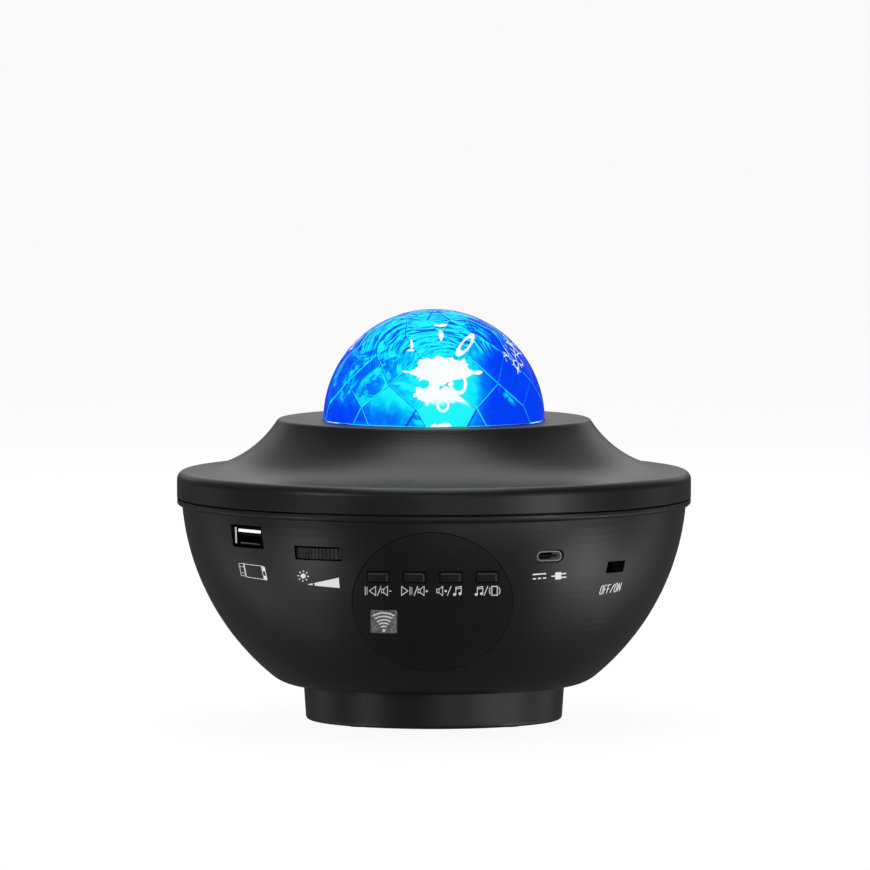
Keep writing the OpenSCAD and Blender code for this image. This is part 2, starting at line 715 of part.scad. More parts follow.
module dome_retainer() color(dark) translate([0, 0, flange_z - retainer_t]) difference() {
    union() {
        cylinder(r = retainer_r, h = retainer_t);
        for (az = retainer_azimuths) at(az, retainer_screw_ring) cylinder(r = retainer_ear_r, h = retainer_t);
    }
    translate([0, 0, -1]) cylinder(r = dome_r + 2 * pass_gap, h = retainer_t + 2);
    for (az = retainer_azimuths) at(az, retainer_screw_ring, -1)
        cylinder(r = screw_r + fit_gap, h = retainer_t + 2);
}

module dome_screws() color(steel) for (az = retainer_azimuths)
    at(az, retainer_screw_ring, flange_z - retainer_t) mirror([0, 0, 1])
        screw(retainer_t + flange_t, low_head_h);

module control_panel() color([0.08, 0.08, 0.09]) difference() {
    intersection() {
        wall_layer(0, panel_t);
        panel_disc(panel_d / 2);
    }
    button_prism(button_w, button_h, sleeve_front_y, rim_r);
    window_prism(0);
}

module ir_window() color([0.35, 0.35, 0.37]) intersection() {
    wall_layer(0, bowl_wall);
    window_prism(0.05);
}

// Foot and speaker ----------------------------------------------------------------------------

module foot_base() color(black) difference() {
    union() {
        rotate_extrude() polygon(concat([[0, floor_z]],
            arc([foot_r - foot_draft - foot_fillet, floor_z + foot_fillet], foot_fillet, -90, 0, 6),
            [[foot_r, foot_h], [foot_r - foot_wall, foot_h],
             [foot_r - foot_draft - foot_wall, floor_top_z], [0, floor_top_z]]));
        for (az = foot_azimuths) at(az, foot_screw_ring, floor_z + 0.5)
            cylinder(r = post_r, h = foot_h - floor_z - 0.5);
        translate([0, 0, floor_z + 0.5]) ring(speaker_r - 1, basket_r, speaker_z - floor_z - 0.5);
        for (az = speaker_azimuths) at(az, speaker_ear_ring, floor_z + 0.5)
            cylinder(r = boss_r, h = speaker_z - floor_z - 0.5);
    }
    for (az = foot_azimuths) at(az, foot_screw_ring, 0) {
        cylinder(r = screw_r + fit_gap, h = foot_h + 1);
        cylinder(r = head_r + fit_gap, h = floor_z + counterbore);
    }
    for (az = speaker_azimuths) at(az, speaker_ear_ring, floor_z + screw_floor_t)
        cylinder(r = screw_r + thread_gap, h = speaker_z);
    for (az = pad_azimuths) at(az, pad_ring, floor_z - 1) cylinder(r = pad_r + 0.1, h = 1 + pad_seat);
    for (k = [0:4], i = [0:max(1, 6 * k) - 1]) rotate([0, 0, k == 0 ? 0 : 60 * i / k])
        translate([0, -k * grille_pitch, floor_z - 1])
            cylinder(r = grille_hole_r, h = foot_wall + 2, $fn = 24);
}

module foot_pads() color([0.15, 0.15, 0.15]) for (az = pad_azimuths) at(az, pad_ring)
    cylinder(r = pad_r, h = pad_proud + pad_seat);

module foot_screws() color(steel) for (az = foot_azimuths)
    at(az, foot_screw_ring, floor_z + counterbore) mirror([0, 0, 1])
        screw(foot_h - floor_z - counterbore + bowl_boss_h - 1.5 * end_gap, low_head_h);

module speaker_frame() color(dark) difference() {
    union() {
        rotate_extrude() polygon([
            [basket_r, speaker_z], [speaker_r, speaker_z], [speaker_r, speaker_top_z],
            [basket_r + basket_t, speaker_top_z], [basket_r + basket_t, speaker_top_z + basket_side_h],
            [magnet_r + basket_t, basket_top_z], [magnet_r + basket_t, magnet_z],
            [coil_r + coil_gap, magnet_z], [coil_r + coil_gap, basket_top_z],
            [magnet_r - 0.5, basket_top_z], [basket_r, speaker_top_z + basket_side_h - 0.4]]);
        for (az = speaker_azimuths) at(az, speaker_ear_ring, speaker_z) difference() {
            cylinder(r = speaker_ear_r, h = speaker_flange_t);
            translate([-speaker_ear_r, speaker_ear_ring - speaker_r + 1, -1])
                cube([2 * speaker_ear_r, 2 * speaker_ear_r, speaker_flange_t + 2]);
        }
        translate([-terminal_w / 2, -speaker_r - 0.2, speaker_z + 0.5])
            cube([terminal_w, terminal_d, speaker_flange_t + terminal_h - 0.5]);
    }
    for (az = speaker_azimuths) at(az, speaker_ear_ring, speaker_z - 1)
        cylinder(r = screw_r + fit_gap, h = speaker_flange_t + 2);
}

// Magnet, back plate and pole in one: the voice coil moves in the gap round the pole.
module speaker_magnet() color(steel) rotate_extrude() polygon([
    [coil_r + coil_gap, magnet_z], [magnet_r, magnet_z], [magnet_r, magnet_z + magnet_t + 2],
    [0, magnet_z + magnet_t + 2], [0, magnet_z - 1.5], [pole_r, magnet_z - 1.5],
    [pole_r, magnet_z + magnet_t], [coil_r + coil_gap, magnet_z + magnet_t]]);

// Surround, paper cone, dust cap and voice coil former.
module speaker_cone() color([0.2, 0.2, 0.2]) {
    rim_z = speaker_z + cone_stroke + 0.9;
    neck_z = basket_top_z - coil_reach;
    surround = [cone_r - surround_r, rim_z];
    former_r = coil_r - former_wall;
    rotate_extrude() polygon(concat(
        arc(surround, surround_r, 0, 180, 8),
        [[coil_r, neck_z], [coil_r, magnet_z + coil_reach], [former_r, magnet_z + coil_reach],
         [former_r, neck_z - cone_t], [0, neck_z - cone_t - cap_rise],
         [0, neck_z - 2 * cone_t - cap_rise], [former_r, neck_z - 2 * cone_t],
         [cone_r - 2 * surround_r - cone_t, rim_z - cone_t]],
        arc(surround, surround_r - cone_t, 180, 0, 8)));
}

module speaker_screws() color(steel) for (az = speaker_azimuths)
    at(az, speaker_ear_ring, speaker_top_z)
        screw(speaker_top_z - floor_z - screw_floor_t - fit_gap, low_head_h);

// Circuit board and what it carries -----------------------------------------------------------

module main_board() color([0.05, 0.3, 0.15]) difference() {
    translate([0, 0, board_z]) linear_extrude(board_t) polygon(concat(
        arc([0, 0], board_r, -90 - board_half_angle, -90 + board_half_angle, 48),
        arc([0, 0], board_r_in, -90 + board_half_angle, -90 - board_half_angle, 36)));
    translate([panel_x + 0.15 - board_notch_w / 2, -rim_r, board_z - 1])
        cube([board_notch_w, rim_r - board_notch_y, board_t + 2]);
    for (az = post_azimuths) at(az, post_ring_r, board_z - 1)
        cylinder(r = screw_r + fit_gap, h = board_t + 2);
    at(wheel_az, wheel_axis_r, board_z - 1) cylinder(r = pot_bush_r + 0.1, h = board_t + 2);
}

module board_screws() color(steel) for (az = post_azimuths)
    at(az, post_ring_r, board_top_z) screw(screw_len - 1);

module board_chips() color(dark) {
    for (c = chips) at(c[0], board_r - c[1], board_top_z)
        translate([-c[2] / 2, -c[3] / 2, 0]) cube([c[2], c[3], c[4]]);
    for (az = capacitor_azimuths) at(az, board_r - capacitor_inset, board_top_z)
        cylinder(r = capacitor_r, h = capacitor_h);
}

module plug(p, z) translate([p[0] - plug_w / 2, p[1] - plug_w / 2, z]) cube([plug_w, plug_w, plug_h]);
module board_connectors() color(white) {
    plug(led_plug, board_top_z);
    plug(motor_plug, board_top_z);
    plug(speaker_plug, plug_low_z);
    plug(ir_plug, plug_low_z);
}

module usb_a_shell() color(steel) difference() {
    outward(usb_a_az, usb_a_face_r - usb_a_depth, usb_a_face_r, usb_a_z)
        polygon(round_rect(usb_a_w, usb_a_h, 2 * shell_corner_r));
    outward(usb_a_az, usb_a_face_r - usb_a_depth + shell_t, usb_a_face_r + 1, usb_a_z)
        polygon(round_rect(usb_a_w - 2 * shell_t, usb_a_h - 2 * shell_t, shell_corner_r));
}

// The contact tongue, its back block, and the stand under the shell.
module usb_a_tongue() color(black) {
    inner_w = usb_a_w - 2 * shell_t;
    inner_h = usb_a_h - 2 * shell_t;
    shell_back_r = usb_a_face_r - usb_a_depth;
    back_r = shell_back_r + shell_t;
    stand_d = board_r - shell_back_r - weld;
    outward(usb_a_az, back_r, back_r + usb_a_block_d, usb_a_z)
        polygon(round_rect(inner_w, inner_h, shell_corner_r));
    translate([0, 0, inner_h / 2 - usb_a_tongue_drop])
        outward(usb_a_az, back_r, usb_a_face_r - usb_a_tongue_in, usb_a_z)
        polygon(round_rect(inner_w - 4 * shell_t, usb_a_tongue_t, shell_corner_r));
    at(usb_a_az, shell_back_r, board_top_z) translate([-usb_a_w / 2, 0, 0])
        mirror([0, 1, 0]) cube([usb_a_w, stand_d, usb_a_z - usb_a_h / 2 - board_top_z]);
}

module usb_c_shell() color(steel) difference() {
    outward(usb_c_az, usb_c_face_r - usb_c_depth, usb_c_face_r, usb_c_z)
        polygon(round_rect(usb_c_w, usb_c_h, usb_c_h / 2 - 0.01));
    outward(usb_c_az, usb_c_face_r - usb_c_depth + shell_t, usb_c_face_r + 1, usb_c_z)
        polygon(round_rect(usb_c_w - 2 * shell_t, usb_c_h - 2 * shell_t, usb_c_h / 2 - shell_t - 0.01));
}

module usb_c_tongue() color(black) {
    inner_w = usb_c_w - 2 * shell_t;
    inner_h = usb_c_h - 2 * shell_t;
    back_r = usb_c_face_r - usb_c_depth + shell_t;
    outward(usb_c_az, back_r, back_r + usb_c_block_d, usb_c_z)
        polygon(round_rect(inner_w, inner_h, inner_h / 2 - 0.01));
    outward(usb_c_az, back_r, usb_c_face_r - usb_c_tongue_in, usb_c_z)
        polygon(round_rect(usb_c_tongue_w, usb_c_tongue_t, shell_corner_r));
}

module potentiometer() color([0.1, 0.2, 0.5]) at(wheel_az, wheel_axis_r) difference() {
    union() {
        translate([0, 0, board_z - pot_h]) cylinder(r = pot_r, h = pot_h);
        translate([0, 0, board_z - 0.5])
            cylinder(r = pot_bush_r, h = wheel_z - wheel_t / 2 - pass_gap - board_z + 0.5);
    }
    translate([0, 0, board_z - pot_h + 0.8]) cylinder(r = wheel_axle_r + run_gap, h = pot_h + 6);
}

// The thumb wheel with its moulded axle.
module brightness_wheel() color(dark) at(wheel_az, wheel_axis_r) {
    step = 360 / wheel_ribs;
    outline = [for (i = [0:wheel_ribs - 1]) each
        [for (p = [[0, rib_depth], [0.2, 0], [0.6, 0], [0.8, rib_depth]])
            (wheel_r - p[1]) * [cos(step * (i + p[0])), sin(step * (i + p[0]))]]];
    translate([0, 0, wheel_z - wheel_t / 2]) linear_extrude(wheel_t) polygon(outline);
    translate([0, 0, board_z - pot_h + 1.1]) cylinder(r = wheel_axle_r, h = wheel_z - board_z + pot_h - 1.1);
}

module switch_body() color(dark) difference() {
    rotate([0, 0, switch_az]) translate([-switch_body_w / 2, -switch_face_r, switch_z - switch_body_h / 2])
        cube([switch_body_w, switch_body_d, switch_body_h]);
    rotate([0, 0, switch_az])
        translate([-switch_hole_w / 2, -switch_face_r - 1, switch_z - knob_foot_h / 2 - pass_gap])
        cube([switch_hole_w, 1 + knob_in + pass_gap, knob_foot_h + 2 * pass_gap]);
}

module switch_knob() color(black) rotate([0, 0, switch_az]) translate([switch_travel / 2, 0, 0]) {
    difference() {
        rotate([0, 0, -switch_az]) outward(switch_az, switch_face_r + pass_gap,
            bowl_at(switch_z) - knob_sunk, switch_z) polygon(round_rect(knob_w, knob_h, knob_corner_r));
        for (i = [-1:1]) translate([i * knob_groove_pitch, knob_sunk - bowl_at(switch_z), switch_z])
            cube([knob_groove, 2 * knob_groove, 2 * knob_h], center = true);
    }
    translate([-knob_w / 2, -switch_face_r - 1, switch_z - knob_foot_h / 2])
        cube([knob_w, 1 + knob_in, knob_foot_h]);
}

module tact_switches() color(dark) for (x = button_x) difference() {
    translate([x - tact_w / 2, -tact_y, 2 * button_z - board_z])
        cube([tact_w, tact_depth, 2 * (board_z - button_z)]);
    translate([x, -tact_y - 1, button_z]) rotate([-90, 0, 0])
        cylinder(r = stem_r + pass_gap, h = 1 + stem_in + button_travel + 2 * pass_gap);
}

// A button: a cap that follows the wall, a flange behind the sleeve and a stem.
module button(i) color(dark) {
    x = button_x[i];
    intersection() {
        translate([x, -flange_y, button_z]) rotate([90, 0, 0]) linear_extrude(rim_r - flange_y)
            polygon(round_rect(button_w - 2 * button_gap, button_h - 2 * button_gap, button_corner_r));
        bowl_solid(-button_proud);
    }
    translate([x - flange_w / 2, -flange_y, button_z - flange_h / 2])
        cube([flange_w, button_flange_t, flange_h]);
    translate([x, -flange_y, button_z]) rotate([-90, 0, 0])
        cylinder(r = stem_r, h = button_flange_t + tact_gap + stem_in);
}
module button_previous() button(0);
module button_next() button(1);
module button_light() button(2);
module button_effect() button(3);

module ir_receiver() color(dark) {
    rotate([0, 0, ir_az]) translate([-receiver_w / 2, -receiver_face_r, ir_z - receiver_h / 2])
        cube([receiver_w, receiver_d, receiver_h]);
    rotate([0, 0, ir_az]) translate([0, -receiver_face_r, ir_z]) sphere(r = receiver_eye_r);
}

// Light engine --------------------------------------------------------------------------------

// The plate hung from the cover, with the collar that the ring gear runs on.
module light_chassis() color(dark) difference() {
    union() {
        translate([0, 0, chassis_z - chassis_t]) cylinder(r = chassis_r, h = chassis_t);
        translate([0, 0, chassis_z - 0.5]) cylinder(r = bearing_r + 2.5, h = shoulder_h + 0.5);
        translate([0, 0, chassis_z]) cylinder(r = bearing_r, h = clip_z + clip_t + 1 - chassis_z);
        for (az = sink_screw_azimuths) at(az, sink_ear_ring, chassis_z - 0.5)
            cylinder(r = boss_r, h = boss_h + 0.5);
        for (s = [-1, 1]) at(motor_az, gear_axis_r, chassis_z - 0.5)
            translate([s * motor_ear_x, 0, 0]) cylinder(r = boss_r, h = boss_h + 0.5);
    }
    translate([0, 0, chassis_z - chassis_t - 1]) cylinder(r = bearing_r - bearing_wall, h = 40);
    translate([0, 0, clip_z]) difference() {
        cylinder(r = bearing_r + 5, h = clip_t);
        translate([0, 0, -1]) cylinder(r = bearing_r - clip_depth, h = clip_t + 2);
    }
    at(motor_az, gear_axis_r, chassis_z - chassis_t - 1) cylinder(r = motor_boss_r + fit_gap, h = 10);
    for (az = chassis_azimuths) at(az, chassis_post_ring, chassis_z - chassis_t - 1)
        cylinder(r = screw_r + fit_gap, h = chassis_t + 2);
    for (az = sink_screw_azimuths) at(az, sink_ear_ring, chassis_z - chassis_t - 1)
        cylinder(r = screw_r + thread_gap, h = chassis_t + boss_h + 0.2);
    for (s = [-1, 1]) at(motor_az, gear_axis_r, chassis_z - chassis_t - 1)
        translate([s * motor_ear_x, 0, 0]) cylinder(r = screw_r + thread_gap, h = chassis_t + boss_h + 0.2);
}

module chassis_screws() color(steel) for (az = chassis_azimuths)
    at(az, chassis_post_ring, chassis_z - chassis_t) mirror([0, 0, 1]) screw(chassis_t + screw_len - 2);

// An open ring in the groove above the ring gear.
module retaining_ring() color(steel) translate([0, 0, clip_z]) difference() {
    ring(bearing_r + 0.75, bearing_r - clip_depth + run_gap, clip_t);
    translate([-2.5, -bearing_r - 3, -1]) cube([5, 6, clip_t + 2]);
}

module ring_gear() color([0.85, 0.85, 0.8]) difference() {
    union() {
        translate([0, 0, gear_z]) linear_extrude(gear_t) polygon(gear_outline(ring_teeth));
        translate([0, 0, gear_top_z - 0.5]) cylinder(r = ripple_r + 1, h = 1.7);
    }
    translate([0, 0, gear_z - 1]) cylinder(r = bearing_r + run_gap, h = gear_t + 4);
    translate([0, 0, gear_top_z]) cylinder(r = ripple_r + 0.1, h = 4);
}

module ripple_lens() color([0.8, 0.9, 1, 0.5]) {
    inner_r = ripple_r - ripple_wall;
    rotate_extrude() polygon(concat(
        [[ripple_r, ripple_base_z]], arc([0, ripple_cz], ripple_r, 0, 90, 2 * arc_steps),
        arc([0, ripple_cz], inner_r, 90, 0, 2 * arc_steps), [[inner_r, ripple_base_z]]));
}

module gear_motor() color(steel) at(motor_az, gear_axis_r) difference() {
    union() {
        translate([0, 0, motor_top_z - motor_h]) cylinder(r = motor_r, h = motor_h);
        translate([0, 0, motor_top_z - 0.5]) cylinder(r = motor_boss_r, h = chassis_t);
        for (s = [-1, 1]) translate([s * motor_ear_x, 0, motor_top_z - motor_ear_t])
            cylinder(r = boss_r + 0.4, h = motor_ear_t);
        translate([-motor_ear_x, -2, motor_top_z - motor_ear_t]) cube([2 * motor_ear_x, 4, motor_ear_t]);
    }
    translate([0, 0, motor_top_z - 8]) cylinder(r = shaft_r + run_gap, h = 12);
    for (s = [-1, 1]) translate([s * motor_ear_x, 0, motor_top_z - motor_ear_t - 1])
        cylinder(r = screw_r + fit_gap, h = motor_ear_t + 2);
}

module motor_screws() color(steel) for (s = [-1, 1])
    at(motor_az, gear_axis_r, motor_top_z - motor_ear_t) translate([s * motor_ear_x, 0, 0])
        mirror([0, 0, 1]) screw(motor_ear_t + chassis_t + boss_h - 1);

module motor_shaft() color(steel) at(motor_az, gear_axis_r, motor_top_z - 8 + pass_gap)
    cylinder(r = shaft_r, h = gear_top_z + 0.5 - motor_top_z + 8 - pass_gap);

module drive_pinion() color(white) at(motor_az, gear_axis_r) difference() {
    union() {
        translate([0, 0, gear_z]) linear_extrude(gear_t)
            rotate([0, 0, 90 + 180 / pinion_teeth]) polygon(gear_outline(pinion_teeth));
        translate([0, 0, gear_z - 1.5]) cylinder(r = shaft_r + 1.5, h = 2);
    }
    translate([0, 0, gear_z - 3]) cylinder(r = shaft_r, h = gear_t + 6);
}

module heat_sink() color([0.7, 0.71, 0.73]) difference() {
    union() {
        translate([0, 0, sink_top_z - sink_base_t]) cylinder(r = sink_r, h = sink_base_t);
        for (az = sink_screw_azimuths) {
            at(az, sink_ear_ring, sink_top_z - sink_base_t) cylinder(r = boss_r + 0.4, h = sink_base_t);
            at(az, sink_ear_ring, sink_top_z - sink_base_t) translate([-2, 0, 0])
                cube([4, sink_ear_ring - sink_r + 3, sink_base_t]);
        }
        intersection() {
            translate([0, 0, sink_top_z - sink_base_t - fin_h]) cylinder(r = sink_r - 0.5, h = fin_h + 1);
            for (i = [0:fin_count - 1])
                translate([(i - (fin_count - 1) / 2) * fin_pitch - fin_t / 2, -sink_r,
                           sink_top_z - sink_base_t - fin_h])
                cube([fin_t, 2 * sink_r, fin_h + 1]);
        }
    }
    translate([0, 0, laser_z - 1]) cylinder(r = laser_r + run_gap, h = 30);
    translate([0, sink_hole_y, laser_z]) cylinder(r = lead_r + 0.5, h = 30);
    for (az = sink_screw_azimuths) at(az, sink_ear_ring, sink_top_z - sink_base_t - 1)
        cylinder(r = screw_r + fit_gap, h = sink_base_t + 2);
}

module heat_sink_screws() color(steel) for (az = sink_screw_azimuths)
    at(az, sink_ear_ring, sink_top_z - sink_base_t) mirror([0, 0, 1])
        screw(sink_base_t + chassis_t + boss_h - 1);

module led_board() color(white) translate([0, 0, sink_top_z]) difference() {
    cylinder(r = led_board_r, h = led_board_t);
    translate([0, 0, -1]) cylinder(r = laser_r + 0.6, h = led_board_t + 2);
}

module around_leds() for (i = [0:3]) rotate([0, 0, 45 + 90 * i]) translate([led_ring, 0, 0]) children();
module leds() color([0.95, 0.9, 0.6]) translate([0, 0, sink_top_z + led_board_t]) around_leds()
    translate([-led_w / 2, -led_w / 2, 0]) cube([led_w, led_w, led_h]);
module led_lenses() color([0.9, 0.95, 1, 0.5]) translate([0, 0, sink_top_z + led_board_t + led_h])
    around_leds() {
        cylinder(r1 = lens_foot_r, r2 = lens_r, h = lens_h - lens_rim_h);
        translate([0, 0, lens_h - lens_rim_h]) cylinder(r = lens_r, h = lens_rim_h);
    }

module laser_module() color([0.8, 0.65, 0.3]) translate([0, 0, laser_z]) cylinder(r = laser_r, h = laser_h);
module laser_grating() color([0.6, 0.9, 0.7, 0.5]) translate([0, 0, laser_z + laser_h])
    cylinder(r = laser_r + grating_rim, h = grating_t);

// Wires ---------------------------------------------------------------------------------------

module speaker_lead() color([0.6, 0.1, 0.1]) tube(speaker_route, lead_r);
module led_lead() color([0.8, 0.8, 0.8]) tube(led_route, lead_r);
module motor_lead() color([0.1, 0.1, 0.5]) tube(motor_route, lead_r);
module ir_lead() color([0.5, 0.4, 0.1]) tube(ir_route, wire_r);

lower_bowl();
top_cover();
lens_dome();
dome_retainer();
dome_screws();
control_panel();
ir_window();
foot_base();
foot_pads();
foot_screws();
speaker_frame();
speaker_magnet();
speaker_cone();
speaker_screws();
main_board();
board_screws();
board_chips();
board_connectors();
usb_a_shell();
usb_a_tongue();
usb_c_shell();
usb_c_tongue();
potentiometer();
brightness_wheel();
switch_body();
switch_knob();
tact_switches();
button_previous();
button_next();
button_light();
button_effect();
ir_receiver();
light_chassis();
chassis_screws();
retaining_ring();
ring_gear();
ripple_lens();
gear_motor();
motor_screws();
motor_shaft();
drive_pinion();
heat_sink();
heat_sink_screws();
led_board();
leds();
led_lenses();
laser_module();
laser_grating();
speaker_lead();
led_lead();
motor_lead();
ir_lead();
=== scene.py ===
"""Looks of the star night light projector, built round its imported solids.

Metres, +Z up, the controls face -Y. Directions round the shell are azimuths in degrees: 0 is
-Y, positive towards +X. The dome's light is laid out in degrees round its lamps, and the
printed signs in points of the 870 x 870 picture.
"""
import math
import random

import bmesh
import bpy
from mathutils import Matrix, Vector
from mathutils.bvhtree import BVHTree


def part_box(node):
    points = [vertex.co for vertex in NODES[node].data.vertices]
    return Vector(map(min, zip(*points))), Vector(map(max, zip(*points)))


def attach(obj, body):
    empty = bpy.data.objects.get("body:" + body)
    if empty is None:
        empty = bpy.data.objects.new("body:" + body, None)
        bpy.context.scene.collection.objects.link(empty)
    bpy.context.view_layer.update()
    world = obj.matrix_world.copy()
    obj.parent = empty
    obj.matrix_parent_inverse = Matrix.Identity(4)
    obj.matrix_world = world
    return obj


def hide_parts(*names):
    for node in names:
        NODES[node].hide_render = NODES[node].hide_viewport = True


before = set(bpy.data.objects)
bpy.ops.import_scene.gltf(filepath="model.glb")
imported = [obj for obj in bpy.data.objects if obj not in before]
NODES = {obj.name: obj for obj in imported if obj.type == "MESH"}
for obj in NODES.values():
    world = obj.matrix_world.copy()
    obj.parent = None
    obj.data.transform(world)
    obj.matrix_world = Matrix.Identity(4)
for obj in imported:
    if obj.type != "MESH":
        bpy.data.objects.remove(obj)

bpy.context.view_layer.update()

MM = 0.001
SHELL = "housing"


def direction(azimuth, elevation=0.0):
    """Unit vector at an azimuth and an elevation in degrees."""
    a, e = math.radians(azimuth), math.radians(elevation)
    return Vector((math.sin(a) * math.cos(e), -math.cos(a) * math.cos(e), math.sin(e)))


def linear(r, g, b):
    """A colour given in 8-bit display values, as linear values."""
    def decode(c):
        return c / 255 / 12.92 if c <= 10 else ((c / 255 + 0.055) / 1.055) ** 2.4

    return [decode(c) for c in (r, g, b)] + [1.0]


# Materials -----------------------------------------------------------------------------------

class Graph:
    """A node material, with short calls that add nodes and link them."""

    def __init__(self, name):
        self.material = bpy.data.materials.new(name)
        self.material.use_nodes = True
        self.tree = self.material.node_tree
        self.shader = self.tree.nodes["Principled BSDF"]
        self.place = self.add("ShaderNodeTexCoord").outputs["Object"]

    def put(self, socket, value):
        """Links a socket to another one, or sets its value."""
        if isinstance(value, bpy.types.NodeSocket):
            self.tree.links.new(value, socket)
        else:
            socket.default_value = value

    def add(self, kind, inputs=None, **settings):
        node = self.tree.nodes.new(kind)
        for key, value in settings.items():
            setattr(node, key, value)
        for key, value in (inputs or {}).items():
            self.put(node.inputs[key], value)
        return node

    def set(self, **sockets):
        """Puts values on the shader's sockets. An underscore stands for a space."""
        for key, value in sockets.items():
            self.put(self.shader.inputs[key.replace("_", " ")], value)

    def math(self, operation, a, b=0.0):
        return self.add("ShaderNodeMath", {0: a, 1: b}, operation=operation).outputs[0]

    def times(self, a, b):
        return self.math("MULTIPLY", a, b)

    def vector(self, operation, a, b=(0.0, 0.0, 0.0), output=0):
        node = self.add("ShaderNodeVectorMath", {0: a, 1: b}, operation=operation)
        return node.outputs[output]

    def length(self, a):
        return self.vector("LENGTH", a, output=1)

    def scaled(self, a, factor):
        node = self.add("ShaderNodeVectorMath", {0: a, "Scale": factor}, operation="SCALE")
        return node.outputs[0]

    def noise(self, scale, detail=2.0, vector=None, distortion=0.0, output="Fac"):
        inputs = {"Vector": vector or self.place, "Scale": scale, "Detail": detail,
                  "Distortion": distortion}
        return self.add("ShaderNodeTexNoise", inputs).outputs[output]

    def ramp(self, value, low, high, to_low=0.0, to_high=1.0):
        """A value between low and high, smoothly mapped to between two others."""
        inputs = {"Value": value, "From Min": low, "From Max": high,
                  "To Min": to_low, "To Max": to_high}
        return self.add("ShaderNodeMapRange", inputs, interpolation_type="SMOOTHSTEP").outputs[0]

    def patches(self, noise, low=0.0, high=1.0):
        """A noise turned into patches with soft edges."""
        return self.ramp(noise, 0.3, 0.7, low, high)

    def mix(self, factor, a, b):
        node = self.add("ShaderNodeMix", {0: factor}, data_type="RGBA")
        self.put(node.inputs[6], a)
        self.put(node.inputs[7], b)
        return node.outputs[2]

    def stops(self, factor, *stops):
        """A colour ramp through (position, colour) pairs."""
        node = self.add("ShaderNodeValToRGB", {0: factor})
        elements = node.color_ramp.elements
        while len(elements) < len(stops):
            elements.new(0.5)
        for element, (position, colour) in zip(elements, stops):
            element.position = position
            element.color = colour
        return node.outputs[0]

    def most(self, values):
        """The greatest of some values."""
        result = values[0]
        for value in values[1:]:
            result = self.math("MAXIMUM", result, value)
        return result

    def total(self, *terms):
        """The sum of (value, factor) pairs."""
        result = 0.0
        for value, factor in terms:
            inputs = {0: value, 1: factor, 2: result}
            result = self.add("ShaderNodeMath", inputs, operation="MULTIPLY_ADD").outputs[0]
        return result

    def patch(self, plane, centre, size, tilt=0.0, ring=0.0):
        """How far a point of the plane lies inside an ellipse, or inside its rim of a thickness."""
        moved = self.vector("SUBTRACT", plane, (*centre, 0))
        if tilt:
            inputs = {"Vector": moved, "Angle": -math.radians(tilt)}
            moved = self.add("ShaderNodeVectorRotate", inputs, rotation_type="Z_AXIS").outputs[0]
        reach = self.length(self.vector("DIVIDE", moved, (*size, 1)))
        if ring:
            away = self.math("ABSOLUTE", self.math("SUBTRACT", reach, 1.0))
            return self.math("SUBTRACT", ring, away)
        return self.math("SUBTRACT", 1.0, reach)

    def bump(self, height, distance, bevel=0.0):
        """A normal with a relief of a height in metres, on edges shaded round by a radius."""
        inputs = {"Height": height, "Distance": distance}
        if bevel:
            inputs["Normal"] = self.add("ShaderNodeBevel", {"Radius": bevel}, samples=6).outputs[0]
        return self.add("ShaderNodeBump", inputs).outputs[0]


GLOSS_PATCHES = 160.0   # along a metre


def moulded(name, colour, roughness, metallic=0.0, specular=0.5, coat=0.0, mottle=0.12,
            cloud=45.0, grain=0.18, depth=0.006, bevel=0.0, spread=0.04, glow=0.0):
    """A moulded, cast or painted finish: cloudy colour, uneven gloss and a fine grain.

    mottle is the share by which clouds are darker or lighter than the colour, and cloud how
    many clouds there are along a metre. spread is how far the roughness strays. grain is the
    size of the grains, depth their height, and bevel the radius to which edges are shaded
    round, all in millimetres. glow is how strongly the finish shines by itself.
    """
    g = Graph(name)
    dark = [c * (1 - mottle) for c in colour[:3]] + [1.0]
    light = [min(1.0, c * (1 + mottle)) for c in colour[:3]] + [1.0]
    tint = g.mix(g.patches(g.noise(cloud, 3.0)), dark, light)
    gloss = g.patches(g.noise(GLOSS_PATCHES), roughness - spread, roughness + spread)
    relief = g.bump(g.noise(1.0 / (grain * MM)), depth * MM, bevel * MM)
    g.set(Base_Color=tint, Metallic=metallic, Roughness=gloss, Normal=relief)
    g.shader.inputs["Specular IOR Level"].default_value = specular
    g.shader.inputs["Coat Weight"].default_value = coat
    # A glow is painted light: none of the finishes that take one is a lamp.
    if glow:
        g.set(Emission_Color=tint, Emission_Strength=glow)
    return g.material


